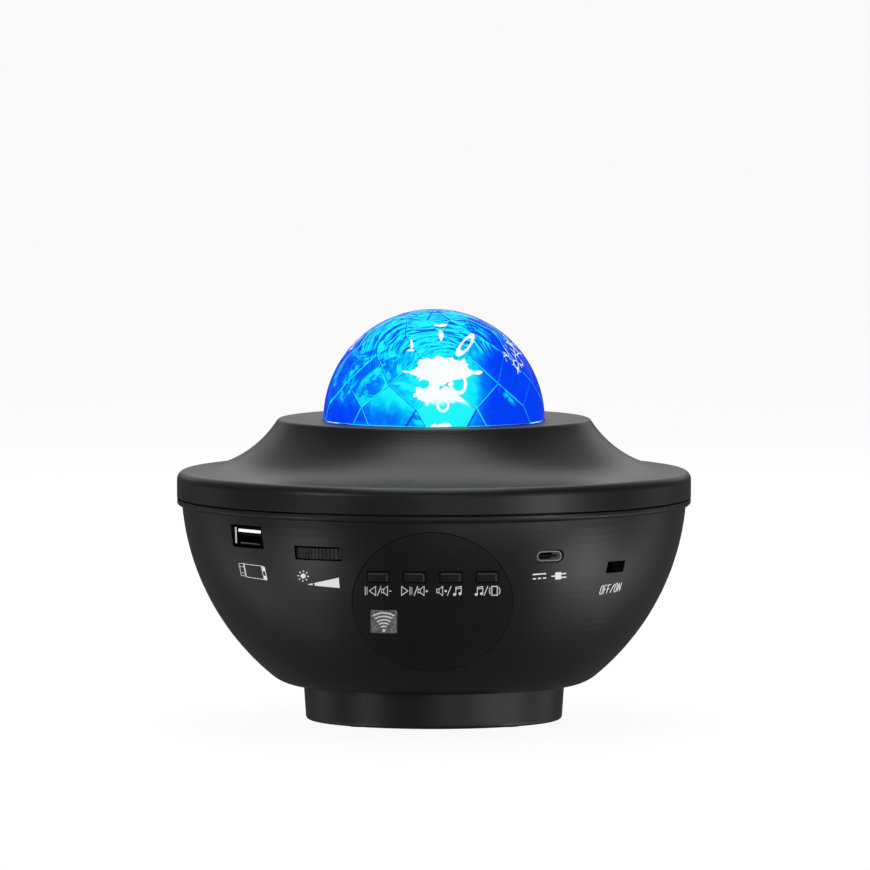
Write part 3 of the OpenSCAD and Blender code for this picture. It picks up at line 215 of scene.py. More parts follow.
FINISHES = {
    "shell_black": dict(colour=linear(26, 26, 27), roughness=0.36, specular=0.42, bevel=0.25,
                        spread=0.008, mottle=0.08),
    "panel_black": dict(colour=linear(27, 27, 28), roughness=0.4, specular=0.3, bevel=0.1,
                        spread=0.008),
    "button_black": dict(colour=linear(25, 25, 26), roughness=0.38, specular=0.45, bevel=0.25),
    # The next finish paints the highlights along the buttons' top and right edges.
    "painted_highlight_grey": dict(colour=linear(96, 96, 98), roughness=0.4),
    "wheel_black": dict(colour=linear(54, 54, 56), roughness=0.34, specular=0.7, bevel=0.08),
    # window_grey's glow is painted light on the receiver window.
    "window_grey": dict(colour=linear(98, 98, 100), roughness=0.5, mottle=0.6, cloud=1150.0,
                        grain=0.3, glow=0.32),
    "pad_rubber": dict(colour=linear(34, 34, 35), roughness=0.8, specular=0.25, grain=0.3,
                       depth=0.02),
    "knob_black": dict(colour=linear(5, 5, 5), roughness=0.7, specular=0.06),
    "shade_black": dict(colour=linear(7, 7, 8), roughness=0.5, specular=0.12),
    # dim_metal's glow is painted light on the sockets' metal.
    "dim_metal": dict(colour=linear(128, 128, 130), roughness=0.5, metallic=0.8, depth=0.002,
                      glow=0.2),
    # The glow of ink_white and ink_grey is painted light on the print.
    "ink_white": dict(colour=linear(205, 205, 205), roughness=0.6, mottle=0.03, grain=0.08,
                      glow=0.75),
    "ink_grey": dict(colour=linear(190, 190, 190), roughness=0.6, mottle=0.06, grain=0.08,
                     glow=0.6),
    # contact_white's glow is painted light on the socket's white contact.
    "contact_white": dict(colour=linear(235, 235, 235), roughness=0.5, mottle=0.03, glow=0.95),
    "inner_plastic": dict(colour=linear(42, 42, 44), roughness=0.55),
    "screw_steel": dict(colour=linear(150, 150, 148), roughness=0.3, metallic=1.0, grain=0.4),
    "speaker_steel": dict(colour=linear(60, 60, 62), roughness=0.45, metallic=0.6),
    "magnet_metal": dict(colour=linear(120, 122, 126), roughness=0.35, metallic=1.0),
    "cone_paper": dict(colour=linear(46, 45, 44), roughness=0.85, grain=0.5, depth=0.03),
    "board_green": dict(colour=linear(18, 82, 44), roughness=0.4, coat=0.3, grain=0.6),
    "chip_black": dict(colour=linear(28, 28, 30), roughness=0.5),
    "plug_white": dict(colour=linear(226, 224, 214), roughness=0.5),
    "gear_white": dict(colour=linear(222, 220, 208), roughness=0.45),
    "clear_lens": dict(colour=linear(210, 228, 240), roughness=0.15, coat=0.5, depth=0.001),
    "motor_steel": dict(colour=linear(165, 166, 168), roughness=0.3, metallic=1.0),
    "sink_aluminium": dict(colour=linear(188, 190, 194), roughness=0.35, metallic=1.0, grain=0.3),
    "led_board_white": dict(colour=linear(235, 235, 230), roughness=0.45),
    "led_yellow": dict(colour=linear(238, 214, 96), roughness=0.35),
    "laser_brass": dict(colour=linear(190, 152, 84), roughness=0.3, metallic=1.0),
    "wire_red": dict(colour=linear(150, 24, 22), roughness=0.45),
    "wire_grey": dict(colour=linear(140, 140, 142), roughness=0.45),
    "wire_blue": dict(colour=linear(28, 52, 140), roughness=0.45),
}
MATERIALS = {slot: moulded(slot + "_finish", **finish) for slot, finish in FINISHES.items()}

# Nodes that look otherwise in the photograph than their own material slot says.
# shade_black fills the insides of both sockets with painted shade, and dim_metal gives the small
# socket's shell a glow of painted light.
OWN_FINISH = {"switch_knob": "knob_black", "usb_c_tongue": "shade_black",
              "usb_c_shell": "dim_metal", "usb_a_shell": "shade_black",
              "usb_a_tongue": "shade_black"}


def dress_nodes():
    """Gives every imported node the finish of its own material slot, or one of its own."""
    for node_name, node in NODES.items():
        for slot in node.material_slots:
            finish = OWN_FINISH.get(node_name, slot.material.name.split(".")[0])
            if finish in MATERIALS:
                slot.material = MATERIALS[finish]


# Meshes --------------------------------------------------------------------------------------

def piece(name, mesh, material, body=SHELL, smooth=True):
    """Adds a mesh to the scene, on a body, with a material."""
    obj = bpy.data.objects.new(name, mesh)
    bpy.context.scene.collection.objects.link(obj)
    mesh.materials.append(material)
    for polygon in mesh.polygons:
        polygon.use_smooth = smooth
    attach(obj, body)
    return obj


def mesh_of(name, points, faces):
    """A mesh whose faces are turned outwards."""
    mesh = bpy.data.meshes.new(name)
    mesh.from_pydata([tuple(p) for p in points], [], faces)
    mesh.update()
    bm = bmesh.new()
    bm.from_mesh(mesh)
    bmesh.ops.recalc_face_normals(bm, faces=bm.faces)
    bm.to_mesh(mesh)
    bm.free()
    return mesh


def lathe(name, profile, steps=256):
    """A closed mesh of revolution round Z. The profile runs from axis to axis."""
    rings = profile[1:-1]
    points = [direction(360 * s / steps) * r + Vector((0, 0, z))
              for r, z in rings for s in range(steps)]
    points += [Vector((0, 0, profile[0][1])), Vector((0, 0, profile[-1][1]))]
    faces = []
    for start in range(0, (len(rings) - 1) * steps, steps):
        for s in range(steps):
            t = (s + 1) % steps
            faces.append((start + s, start + t, start + steps + t, start + steps + s))
    first, last = len(points) - 2, len(points) - 1
    start = (len(rings) - 1) * steps
    for s in range(steps):
        t = (s + 1) % steps
        faces += [(first, t, s), (last, start + s, start + t)]
    return mesh_of(name, points, faces)


# The dome ------------------------------------------------------------------------------------

DOME_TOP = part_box("lens_dome")[1].z
DOME_R = 36.2 * MM
DOME_Z = DOME_TOP - DOME_R
SKIN_BASE = 0.5 * MM    # how far the clear plastic reaches below the dome's centre
SKIN_WALL = 2 * MM      # its wall below that
COLLAR = 2.9 * MM       # how far the dome's flange lies under the cover's top

COLUMNS = 11
COLUMN_STEP = 360 / COLUMNS
FIRST_AZIMUTH = -9.5
HALF_STEP = 16.1        # how far every second ring of corners is turned
ROW_ELEVATIONS = [9, 22, 39, 54, 69]
GAP_AZIMUTH = 5.3       # half width of the triangles at the foot
ROWS = 6                # facets in a column, counted from the foot up
TRIANGLE_ROW = 0
PENTAGON_ROW = 1
FACET_R = DOME_R - 0.5 * MM
FACET_RISE = 0.12 * MM  # how far a facet's middle stands out
GROOVE = 0.24 * MM
GROOVE_CORNER = 1.6     # how many grooves wide a facet's corner is cut back
GROOVE_DEPTH = 0.22 * MM
LIT_LEAN = 0.35         # how much the lit groove sides face -X besides down

FACET_VALUES = ("tone", "cell", "edge", "row")
FACET_SEED = 11
TONES = (-0.12, 0.1)    # how much darker or lighter a facet is
TRIANGLE_SHADE = 0.2    # how much darker the triangles are besides


def facet_outlines():
    """Corners of the dome's facets as (azimuth, elevation): triangles and pentagons at the foot,
    rhombs above them and kites round the top."""
    outlines = []
    low, second, middle, fourth, high = ROW_ELEVATIONS
    for k in range(COLUMNS):
        a0 = FIRST_AZIMUTH + k * COLUMN_STEP
        a1 = a0 + COLUMN_STEP
        b0, b1 = a0 + HALF_STEP - COLUMN_STEP, a0 + HALF_STEP
        outlines += [
            [(a0 - GAP_AZIMUTH, 0), (a0 + GAP_AZIMUTH, 0), (a0, low)],
            [(a0 + GAP_AZIMUTH, 0), (a1 - GAP_AZIMUTH, 0), (a1, low), (b1, second), (a0, low)],
            [(a0, low), (b1, second), (a0, middle), (b0, second)],
            [(b1, second), (a1, middle), (b1, fourth), (a0, middle)],
            [(a0, middle), (b1, fourth), (a0, high), (b0, fourth)],
            [(b1, fourth), (a1, high), (a0, 90), (a0, high)],
        ]
    return outlines


def facet_mesh():
    """The faceted inner face of the dome: flat facets with a V-shaped groove along their edges.
    Each face keeps its facet's tone, number and row, and if it is a lit or a dark groove side."""
    bm = bmesh.new()
    tone, cell, edge, row = [bm.faces.layers.float.new(value) for value in FACET_VALUES]
    rng = random.Random(FACET_SEED)
    centre = Vector((0, 0, DOME_Z))
    for place, outline in enumerate(facet_outlines()):
        own_row = place % ROWS
        corners = [direction(a, e) * FACET_R for a, e in outline]
        middle = sum(corners, Vector()) / len(corners)
        number = rng.random()
        level = rng.uniform(*TONES) - (TRIANGLE_SHADE if own_row == TRIANGLE_ROW else 0.0)
        rim = [middle + (c - middle) * (1 - GROOVE / (c - middle).length * GROOVE_CORNER)
               for c in corners]
        deep = [c * (1 - GROOVE_DEPTH / FACET_R) for c in corners]
        outer = [bm.verts.new(centre + p) for p in deep]
        inner = [bm.verts.new(centre + p) for p in rim]
        hub = bm.verts.new(centre + middle * (1 + FACET_RISE / FACET_R))
        for i in range(len(corners)):
            j = (i + 1) % len(corners)
            side = bm.faces.new((outer[i], outer[j], inner[j], inner[i]))
            facing = ((rim[i] + rim[j]) / 2 - middle).normalized()
            side[edge] = 1.0 if facing.z + LIT_LEAN * facing.x < 0 else -1.0
            top = bm.faces.new((inner[i], inner[j], hub))
            for face in (side, top):
                face[tone] = level
                face[cell] = number
                face[row] = own_row
    bmesh.ops.recalc_face_normals(bm, faces=bm.faces)
    mesh = bpy.data.meshes.new("dome_facets")
    bm.to_mesh(mesh)
    bm.free()
    return mesh


LAMPS = 2
LAMP_AZIMUTH = 4.9
LAMP_ELEVATION = 30.0

# What shines white. Places are in degrees to the right of the lamp and above it, and sizes are
# half widths and half heights.
# Blots: centre, size, and how torn their edge is. The wide ones are also bent.
BLOTS = (((0, 1.5), (14.5, 9.5), 0.8), ((-7.7, -11.8), (9.5, 4.4), 1.3),
         ((20.3, -0.5), (2.6, 1.2), 0.3), ((1.5, 34.7), (3.8, 1.6), 0.4),
         ((0.8, 26), (1.3, 5), 1.6), ((-15.2, 18), (0.9, 3.4), 0.5),
         ((-16, 13.6), (2.4, 0.7), 0.6), ((0, -30), (9, 1.3), 0.3))
WIDE_BLOT = 5
STAR = (20.5, 8)
# Rings: centre, size, tilt, and thickness as a share of their size.
RINGS = (((14.1, 17.4), (7.4, 2.5), 55, 0.3), ((8.4, -6.4), (4.3, 5.6), 0, 0.22),
         ((0, -18.5), (2.8, 3.0), 0, 0.26))
NET = ((53, 9), (14, 12))
# How fine the tears, the bends and the meshes of the net are, along a metre.
TEARS, BENDS, MESHES = 260.0, 170.0, 300.0
BEND_REACH = 7.0        # in degrees
# The pentagons under the lamp are lit: where the middle of those is, and how far they reach.
LIT_MIDDLE, LIT_REACH = 1.7, 17.5
LIT_FOOT = -19.4        # above this they turn white
LIT_FADE = 8

# What shines paler than the blue round it: leaves left of the lamp, and a sheen low at its right.
LEAVES = (((-60, -4), (5, 15), -16), ((-53, 3), (4, 12), -24),
          ((-38, -8), (5, 9), -50), ((-30, 3), (10, 4), 30))
LEAF_EDGE = 0.12
SHEEN = ((39, -15), (13, 3.6), -39.5)

# The blue at each level, from the darkest to the lightest.
BLUES = ((0.0, (4, 62, 238)), (0.22, (4, 82, 246)), (0.45, (6, 126, 247)),
         (0.62, (8, 178, 248)), (0.8, (12, 232, 247)), (1.0, (34, 248, 246)))


class DomeLight(Graph):
    """The light in the facets, laid out on a flat map in degrees round the nearest lamp: across
    to the right, above it upwards."""

    def __init__(self, name):
        super().__init__(name)
        self.tone, self.cell, self.edge, row = [
            self.add("ShaderNodeAttribute", attribute_name=value).outputs["Fac"]
            for value in FACET_VALUES]
        outwards = self.vector("NORMALIZE", self.vector("SUBTRACT", self.place, (0, 0, DOME_Z)))
        x, y, z = self.add("ShaderNodeSeparateXYZ", {0: outwards}).outputs
        turn = self.math("ARCTAN2", x, self.times(y, -1.0))
        half = math.radians(180 / LAMPS)
        inputs = {0: self.math("SUBTRACT", turn, math.radians(LAMP_AZIMUTH)), 1: half, 2: -half}
        turn = self.add("ShaderNodeMath", inputs, operation="WRAP").outputs[0]
        rise = self.math("ARCSINE", z)
        self.across = self.times(self.times(turn, self.math("COSINE", rise)), math.degrees(1))
        self.above = self.math("SUBTRACT", self.times(rise, math.degrees(1)), LAMP_ELEVATION)
        self.plane = self.add("ShaderNodeCombineXYZ", {0: self.across, 1: self.above}).outputs[0]
        stray = self.vector("SUBTRACT", self.noise(BENDS, 3.0, output="Color"), (0.5, 0.5, 0.5))
        self.bent = self.vector("ADD", self.plane, self.scaled(stray, BEND_REACH))
        self.pentagon = self.math("COMPARE", row, float(PENTAGON_ROW))
        away = self.math("ABSOLUTE", self.math("SUBTRACT", self.across, LIT_MIDDLE))
        self.lit_pentagon = self.times(self.pentagon, self.math("LESS_THAN", away, LIT_REACH))

    def crisp(self, value, width=0.05):
        """1 where a value is above zero, with an edge of a width."""
        return self.ramp(value, 0.0, width)

    def white(self):
        """Torn blots, a star and rings, the upper part of the pentagons under the lamp, and a net
        of fine lines at its right."""
        rag = self.math("SUBTRACT", self.noise(TEARS, 5.0, distortion=0.4), 0.5)
        shapes = []
        for centre, size, tear in BLOTS:
            blot = self.patch(self.bent if size[0] > WIDE_BLOT else self.plane, centre, size)
            shapes.append(self.crisp(self.total((blot, 1.0), (rag, tear))))
        star = self.total((self.math("ABSOLUTE", self.across), -1 / STAR[0]),
                          (self.math("ABSOLUTE", self.above), -1 / STAR[1]), (rag, 0.6))
        shapes.append(self.crisp(self.math("ADD", star, 1.0)))
        shapes += [self.crisp(self.patch(self.plane, *ring)) for ring in RINGS]
        upper = self.total((self.above, 1 / LIT_FADE), (rag, 1.6), (1.0, -LIT_FOOT / LIT_FADE))
        shapes.append(self.times(self.lit_pentagon, self.crisp(upper, 0.5)))
        net = self.add("ShaderNodeTexVoronoi", {"Vector": self.place, "Scale": MESHES},
                       feature="DISTANCE_TO_EDGE").outputs[0]
        lines = self.ramp(net, 0.03, 0.07, 1.0, 0.0)
        shapes.append(self.times(lines, self.crisp(self.patch(self.bent, *NET), 0.08)))
        return self.most(shapes)

    def level(self):
        """How light the blue is: 0 to 1."""
        across, above = self.across, self.above

        # Ripples and dark threads run in arcs round the lamp and break off at each facet's edge.
        arcs = self.add("ShaderNodeCombineXYZ", {
            0: self.times(self.length(self.plane), 0.75),
            1: self.times(self.math("ARCTAN2", above, across), 2.0),
            2: self.times(self.cell, 3.0)}).outputs[0]
        ripples = self.ramp(self.noise(1.0, 4.0, arcs, 0.5), 0.36, 0.62, -0.62, 0.48)
        threads = self.noise(1.0, 3.0, self.scaled(arcs, 2.3), 0.8)
        threads = self.ramp(threads, 0.5, 0.62, 0.0, -0.3)
        upper = self.times(self.ramp(above, 8.0, 18.0),
                           self.ramp(self.noise(60.0), 0.3, 0.48, 0.35, 1.0))

        # Swirls at the left, weak in the pentagons, and a fine mottle, other ones in each facet.
        shifted = self.vector("ADD", self.place, self.scaled((0.71, 0.37, 0.53), self.cell))
        calm = self.math("SUBTRACT", 1.0, self.times(self.pentagon, 0.75))
        swirl = self.ramp(self.noise(64.0, 3.0, shifted, 2.2), 0.5, 0.58)
        swirl = self.times(self.times(swirl, self.ramp(across, 8.0, -10.0)), calm)
        fine = self.ramp(self.noise(420.0, 3.0, shifted), 0.3, 0.75, -0.07, 0.1)

        # The glow round the lamp, a wide halo that leans to the left, and what lies low beside it.
        oval = self.length(self.vector("MULTIPLY", self.plane, (1.0, 0.62, 1.0)))
        halo = self.math("ABSOLUTE", self.math("ADD", across, 12.0))
        low_right = self.times(self.ramp(across, 17.0, 24.0), self.ramp(above, 14.0, 4.0))
        low_left = self.times(self.pentagon, self.ramp(across, -12.0, -17.0))
        leaves = self.most([self.crisp(self.patch(self.bent, *leaf, LEAF_EDGE), 0.1)
                            for leaf in LEAVES])
        sheen = self.crisp(self.patch(self.bent, *SHEEN), 0.8)

        return self.total(
            (self.tone, 1.0),
            (self.ramp(oval, 40.0, 9.0), 0.46),
            (self.ramp(halo, 52.0, 22.0), 0.26),
            (self.times(ripples, upper), 1.0),
            (upper, 0.16),
            (swirl, 0.34),
            (fine, 1.0),
            (leaves, 0.3),
            (self.times(low_left, self.ramp(above, -27.0, -13.0, -0.1, 0.28)), 1.0),
            (self.times(threads, self.ramp(above, -6.0, 6.0)), 1.0),
            (low_right, -0.22),
            (self.lit_pentagon, 0.24),
            (self.ramp(above, 26.0, 46.0), 0.3),
            (sheen, 0.9),
            (self.math("MAXIMUM", self.edge, 0.0), 0.62),
            (self.math("MINIMUM", self.edge, 0.0), 0.7),
            (1.0, 0.16))


def facet_light():
    """Royal blue, cyan round each lamp and white where it shines through."""
    g = DomeLight("dome_facet_light")
    blue = g.stops(g.level(), *[(position, linear(*colour)) for position, colour in BLUES])
    g.set(Base_Color=linear(0, 20, 90), Roughness=0.5, Emission_Strength=1.0,
          Emission_Color=g.mix(g.white(), blue, linear(255, 255, 255)))
    g.shader.inputs["Specular IOR Level"].default_value = 0.0
    return g.material


def clear_dome():
    """The clear plastic over the facets, with faint moulding ripples."""
    g = Graph("dome_clear")
    ripples = g.noise(1.0, vector=g.vector("MULTIPLY", g.place, (160.0, 160.0, 320.0)))
    g.set(Base_Color=g.mix(g.noise(30.0), linear(232, 244, 255), linear(255, 255, 255)))
    g.set(Roughness=0.03, IOR=1.045, Transmission_Weight=1.0, Normal=g.bump(ripples, 0.05 * MM))
    g.shader.inputs["Specular IOR Level"].default_value = 0.08
    return g.material


def make_dome():
    """The dome's clear outer skin and the faceted face inside it."""
    foot_z, flange_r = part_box("lens_dome")[0].z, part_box("lens_dome")[1].x
    flange_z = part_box("top_cover")[1].z - COLLAR
    base_z, inner_r = DOME_Z - SKIN_BASE, DOME_R - SKIN_WALL
    arc = [(DOME_R * math.cos(math.radians(a)), DOME_Z + DOME_R * math.sin(math.radians(a)))
           for a in range(0, 90, 2)]
    skin = [(0, base_z), (inner_r, base_z), (inner_r, foot_z), (flange_r, foot_z),
            (flange_r, flange_z), (DOME_R, flange_z), *arc, (0, DOME_TOP)]
    clear = piece("lens_dome_skin", lathe("lens_dome_skin", skin), clear_dome())
    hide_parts("lens_dome")
    facets = piece("lens_dome_facets", facet_mesh(), facet_light(), smooth=False)
    # As in the photograph, the shell shows hardly any of the dome's blue. What is left comes
    # through the clear skin, and shows on the collar from above.
    facets.visible_diffuse = facets.visible_glossy = False


# Printed signs -------------------------------------------------------------------------------
# A sign is drawn in the picture's points and dropped on the wall along the camera's rays.

IMAGE_SIDE = 870
FOCAL_PX = 15341
PITCH = 3.92
EYE = Vector((0.00033, -5.0, 0.436))
INK_HEIGHT = 0.035 * MM
STEP = 2.5              # the longest step along a shape
CHORDS = 9              # across a disc


def ray(x, y):
    """Direction from the camera through a point of the picture."""
    half = IMAGE_SIDE / 2
    along = Vector(((x - half) / FOCAL_PX, (half - y) / FOCAL_PX, -1.0))
    along.rotate(Matrix.Rotation(math.radians(90 - PITCH), 3, "X"))
    return along.normalized()


def wall_tree(name):
    """What a sign can be dropped on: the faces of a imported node."""
    mesh = NODES[name].data
    return BVHTree.FromPolygons([v.co.copy() for v in mesh.vertices],
                                [list(polygon.vertices) for polygon in mesh.polygons])


def fill(*pairs):
    """A shape swept from pair to pair of opposite points, in short steps."""
    rows = [[Vector(a), Vector(b)] for a, b in pairs]
    result = [rows[0]]
    for start, end in zip(rows, rows[1:]):
        reach = max((end[k] - start[k]).length for k in range(2))
        steps = max(1, math.ceil(reach / STEP))
        result += [[start[k].lerp(end[k], t / steps) for k in range(2)]
                   for t in range(1, steps + 1)]
    return result, False


def stroke(points, width, closed=False):
    """A line of a width through some points, with mitred corners."""
    points = [Vector(p) for p in points]
    if closed:
        points.append(points[0])
    line = [points[0]]
    for start, end in zip(points, points[1:]):
        steps = max(1, math.ceil((end - start).length / STEP))
        line += [start.lerp(end, t / steps) for t in range(1, steps + 1)]
    if closed:
        line.pop()
    rows = []
    last = len(line) - 1
    for i, point in enumerate(line):
        before = line[i - 1] if closed or i > 0 else None
        after = line[(i + 1) % len(line)] if closed or i < last else None
        ahead = (after - point if after else point - before).normalized()
        behind = (point - before).normalized() if before else ahead
        along = (ahead + behind).normalized()
        side = Vector((-along.y, along.x))
        reach = width / 2 / max(0.5, side.dot(Vector((-ahead.y, ahead.x))))
        rows.append([point + side * reach, point - side * reach])
    return rows, closed


def disc(centre, radius):
    """A filled circle, swept from chord to chord."""
    chords = []
    for step in range(CHORDS):
        angle = math.radians(6 + 168 * step / (CHORDS - 1))
        x, h = -radius * math.cos(angle), radius * math.sin(angle)
        chords.append(((centre[0] + x, centre[1] - h), (centre[0] + x, centre[1] + h)))
    return fill(*chords)


def print_sign(name, tree, shapes, material, body=SHELL):
    """A sign of thin raised ink: each shape is a strip dropped on the wall."""
    points, faces = [], []
    for rows, closed in shapes:
        start = len(points)
        for row in rows:
            for spot in row:
                place, normal, _, _ = tree.ray_cast(EYE, ray(*spot))
                points += [place + normal * INK_HEIGHT, place - normal * INK_HEIGHT]
        count = len(rows)
        for i in range(count if closed else count - 1):
            a, b = start + 4 * i, start + 4 * ((i + 1) % count)
            for j, k in ((0, 2), (2, 3), (3, 1), (1, 0)):
                faces.append((a + j, a + k, b + k, b + j))
        if not closed:
            end = start + 4 * (count - 1)
            faces += [(start + 1, start + 3, start + 2, start), (end, end + 2, end + 3, end + 1)]
    return piece(name, mesh_of(name, points, faces), MATERIALS[material], body=body, smooth=False)


USB_A_AZIMUTH = -48.2
USB_A_SUNK = 0.96 * MM  # how far the contact and the spring lie behind the socket's mouth
USB_SHEET = (14, 8)     # half width and half height in millimetres, wider than the mouth


def usb_plane(sunk):
    """A flat sheet at the mouth of the large socket, or sunk in it."""
    out = direction(USB_A_AZIMUTH)
    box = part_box("usb_a_shell")
    reach = max(out.dot(v.co) for v in NODES["usb_a_shell"].data.vertices) - sunk
    middle = Vector((0, 0, (box[0].z + box[1].z) / 2)) + out * reach
    side = Vector((-out.y, out.x, 0)) * USB_SHEET[0] * MM
    rise = Vector((0, 0, USB_SHEET[1] * MM))
    corners = [middle + side * a + rise * b for a, b in ((-1, -1), (1, -1), (1, 1), (-1, 1))]
    return BVHTree.FromPolygons(corners, [(0, 1, 2, 3)])


def brightness_sign():
    """A sun with eight rays, and a wedge that widens to the right."""
    x, y = 303.2, 576.0
    shapes = [disc((x, y), 2.5)]
    for k in range(8):
        a = math.radians(45 * k + 4)
        shapes.append(stroke([(x + r * math.sin(a), y - r * math.cos(a)) for r in (4.1, 5.6)], 1.1))
    return shapes + [fill(((314.4, 583.0), (314.8, 585.6)), ((338.7, 577.7), (339.7, 588.0))),
                     fill(((308.2, 584.1), (308.3, 584.8)), ((313.0, 583.3), (312.6, 585.0)))]


def charging_sign():
    """A telephone on its side, and a plug at its left."""
    return [stroke([(244.2, 563.9), (262.6, 566.2), (264.6, 567.6), (267.2, 580.0),
                    (246.6, 576.9)], 0.5, True),
            fill(((261.0, 566.4), (264.3, 567.2)), ((262.3, 571.2), (265.5, 571.4))),
            fill(((263.4, 575.8), (266.3, 575.6)), ((263.8, 579.4), (267.0, 580.2))),
            stroke([(262.2, 570.8), (263.5, 576.2)], 0.5),
            stroke([(265.2, 571.0), (266.2, 576.0)], 0.5),
            stroke([(238.9, 563.6), (243.4, 563.2), (245.6, 576.0), (241.5, 575.5)], 0.42, True),
            stroke([(239.6, 566.6), (244.0, 566.7)], 0.4),
            stroke([(241.0, 572.4), (245.0, 572.9)], 0.4)]


def power_sign():
    """The sign for direct current, and a plug."""
    dashes = [stroke([(x, y), (x + 3.2, y - 0.2)], 1.3)
              for x, y in ((532.8, 578.9), (537.9, 578.5), (543.0, 578.1))]
    return [stroke([(532.6, 574.6), (546.0, 573.6)], 1.3), *dashes,
            stroke([(551.5, 576.3), (555.2, 576.0)], 1.2),
            fill(((555.2, 572.5), (555.2, 579.6)), ((561.0, 572.0), (561.0, 579.1))),
            stroke([(561.0, 573.8), (566.2, 573.4)], 1.2),
            stroke([(561.0, 577.4), (566.2, 577.0)], 1.2)]


# Letters made of strokes in a unit cell, with whether each stroke is closed.
LETTER_O = [([(0, 0.2), (0.3, 0), (0.7, 0), (1, 0.2), (1, 0.8), (0.7, 1), (0.3, 1), (0, 0.8)],
             True)]
LETTER_F = [([(0, 0), (0, 1), (1, 1)], False), ([(0, 0.52), (0.8, 0.52)], False)]
LETTER_N = [([(0, 0), (0, 1), (1, 0), (1, 1)], False)]
SLASH = [([(0, 0), (1, 1)], False)]


def switch_sign():
    """OFF/ON in slanting letters, on a line that rises to the right."""
    origin, step, size, slant = (599.2, 594.6), (3.55, -0.62), (2.3, 8.6), 2.4
    shapes = []
    for number, lines in enumerate((LETTER_O, LETTER_F, LETTER_F, SLASH, LETTER_O, LETTER_N)):
        for points, closed in lines:
            placed = [(origin[0] + step[0] * number + size[0] * u + slant * v,
                       origin[1] + step[1] * (number + u * size[0] / step[0]) - size[1] * v)
                      for u, v in points]
            shapes.append(stroke(placed, 0.62, closed))
    return shapes


def speaker(x, y):
    """A loudspeaker 6 wide with its mouth to the right."""
    return [stroke([(x, y - 1.8), (x + 2.2, y - 1.8), (x + 6, y - 4.6), (x + 6, y + 4.6),
                    (x + 2.2, y + 1.8), (x, y + 1.8)], 0.7, True),
            stroke([(x + 2.2, y - 1.6), (x + 2.2, y + 1.6)], 0.55)]


def slash(x, y):
    """The slanting line between two signs."""
    return [stroke([(x - 1.9, y + 4.8), (x + 1.9, y - 4.8)], 0.8)]


def note(x, y):
    """Two quavers under one beam."""
    return [disc((x, y + 3.6), 1.5), disc((x + 5.4, y + 2.8), 1.5),
            stroke([(x + 1.2, y + 3.4), (x + 1.2, y - 3.6), (x + 6.6, y - 4.4),
                    (x + 6.6, y + 2.6)], 0.8),
            stroke([(x + 1.2, y - 2.0), (x + 6.6, y - 2.8)], 0.8)]


def buttons_sign():
    """What is printed under the four buttons, on one line."""
    y = 590.9
    previous = [stroke([(365.3, 586.6), (365.3, 595.2)], 0.7),
                stroke([(367.1, 587.0), (367.1, 594.8)], 0.55),
                stroke([(369.4, y), (375.6, y - 4.5), (375.6, y + 4.5)], 0.75, True),
                *slash(379.2, y), *speaker(381.5, y),
                stroke([(389.0, y + 0.2), (391.6, y + 0.2)], 0.7)]
    following = [stroke([(401.6, y - 4.5), (407.8, y), (401.6, y + 4.5)], 0.75, True),
                 stroke([(410.0, 586.6), (410.0, 595.2)], 0.7),
                 stroke([(411.9, 587.4), (411.9, 594.4)], 0.55),
                 *slash(415.9, y), *speaker(418.1, y),
                 stroke([(425.5, y + 0.2), (428.1, y + 0.2)], 0.7),
                 stroke([(426.8, y - 1.1), (426.8, y + 1.5)], 0.7)]
    light = [*speaker(436.7, y), disc((445.7, y + 0.2), 1.2), *slash(449.2, y), *note(454.6, y)]
    effect = [*note(476.2, y), *slash(485.9, y),
              stroke([(491.8, 586.4), (497.3, 586.4), (497.3, 595.2), (491.8, 595.2)], 1.0, True),
              stroke([(490.0, 587.4), (489.4, y), (490.0, 594.2)], 0.9),
              stroke([(499.1, 587.4), (500.1, y), (499.1, 594.2)], 0.9)]
    return previous + following + light + effect


def receiver_sign():
    """Waves over a dot. Each wave has a half width, and heights at its ends and its middle."""
    x = 383.8
    shapes = [disc((x, 630.4), 1.5)]
    for half, ends, middle in ((10.8, 615.7, 612.8), (8.6, 618.5, 616.3), (6.9, 621.7, 619.7),
                               (4.7, 624.3, 623.0), (2.7, 627.0, 626.2)):
        shapes.append(stroke([(x + half * t, middle + (ends - middle) * t * t)
                              for t in (-1, -0.6, -0.2, 0.2, 0.6, 1)], 1.25))
    return shapes


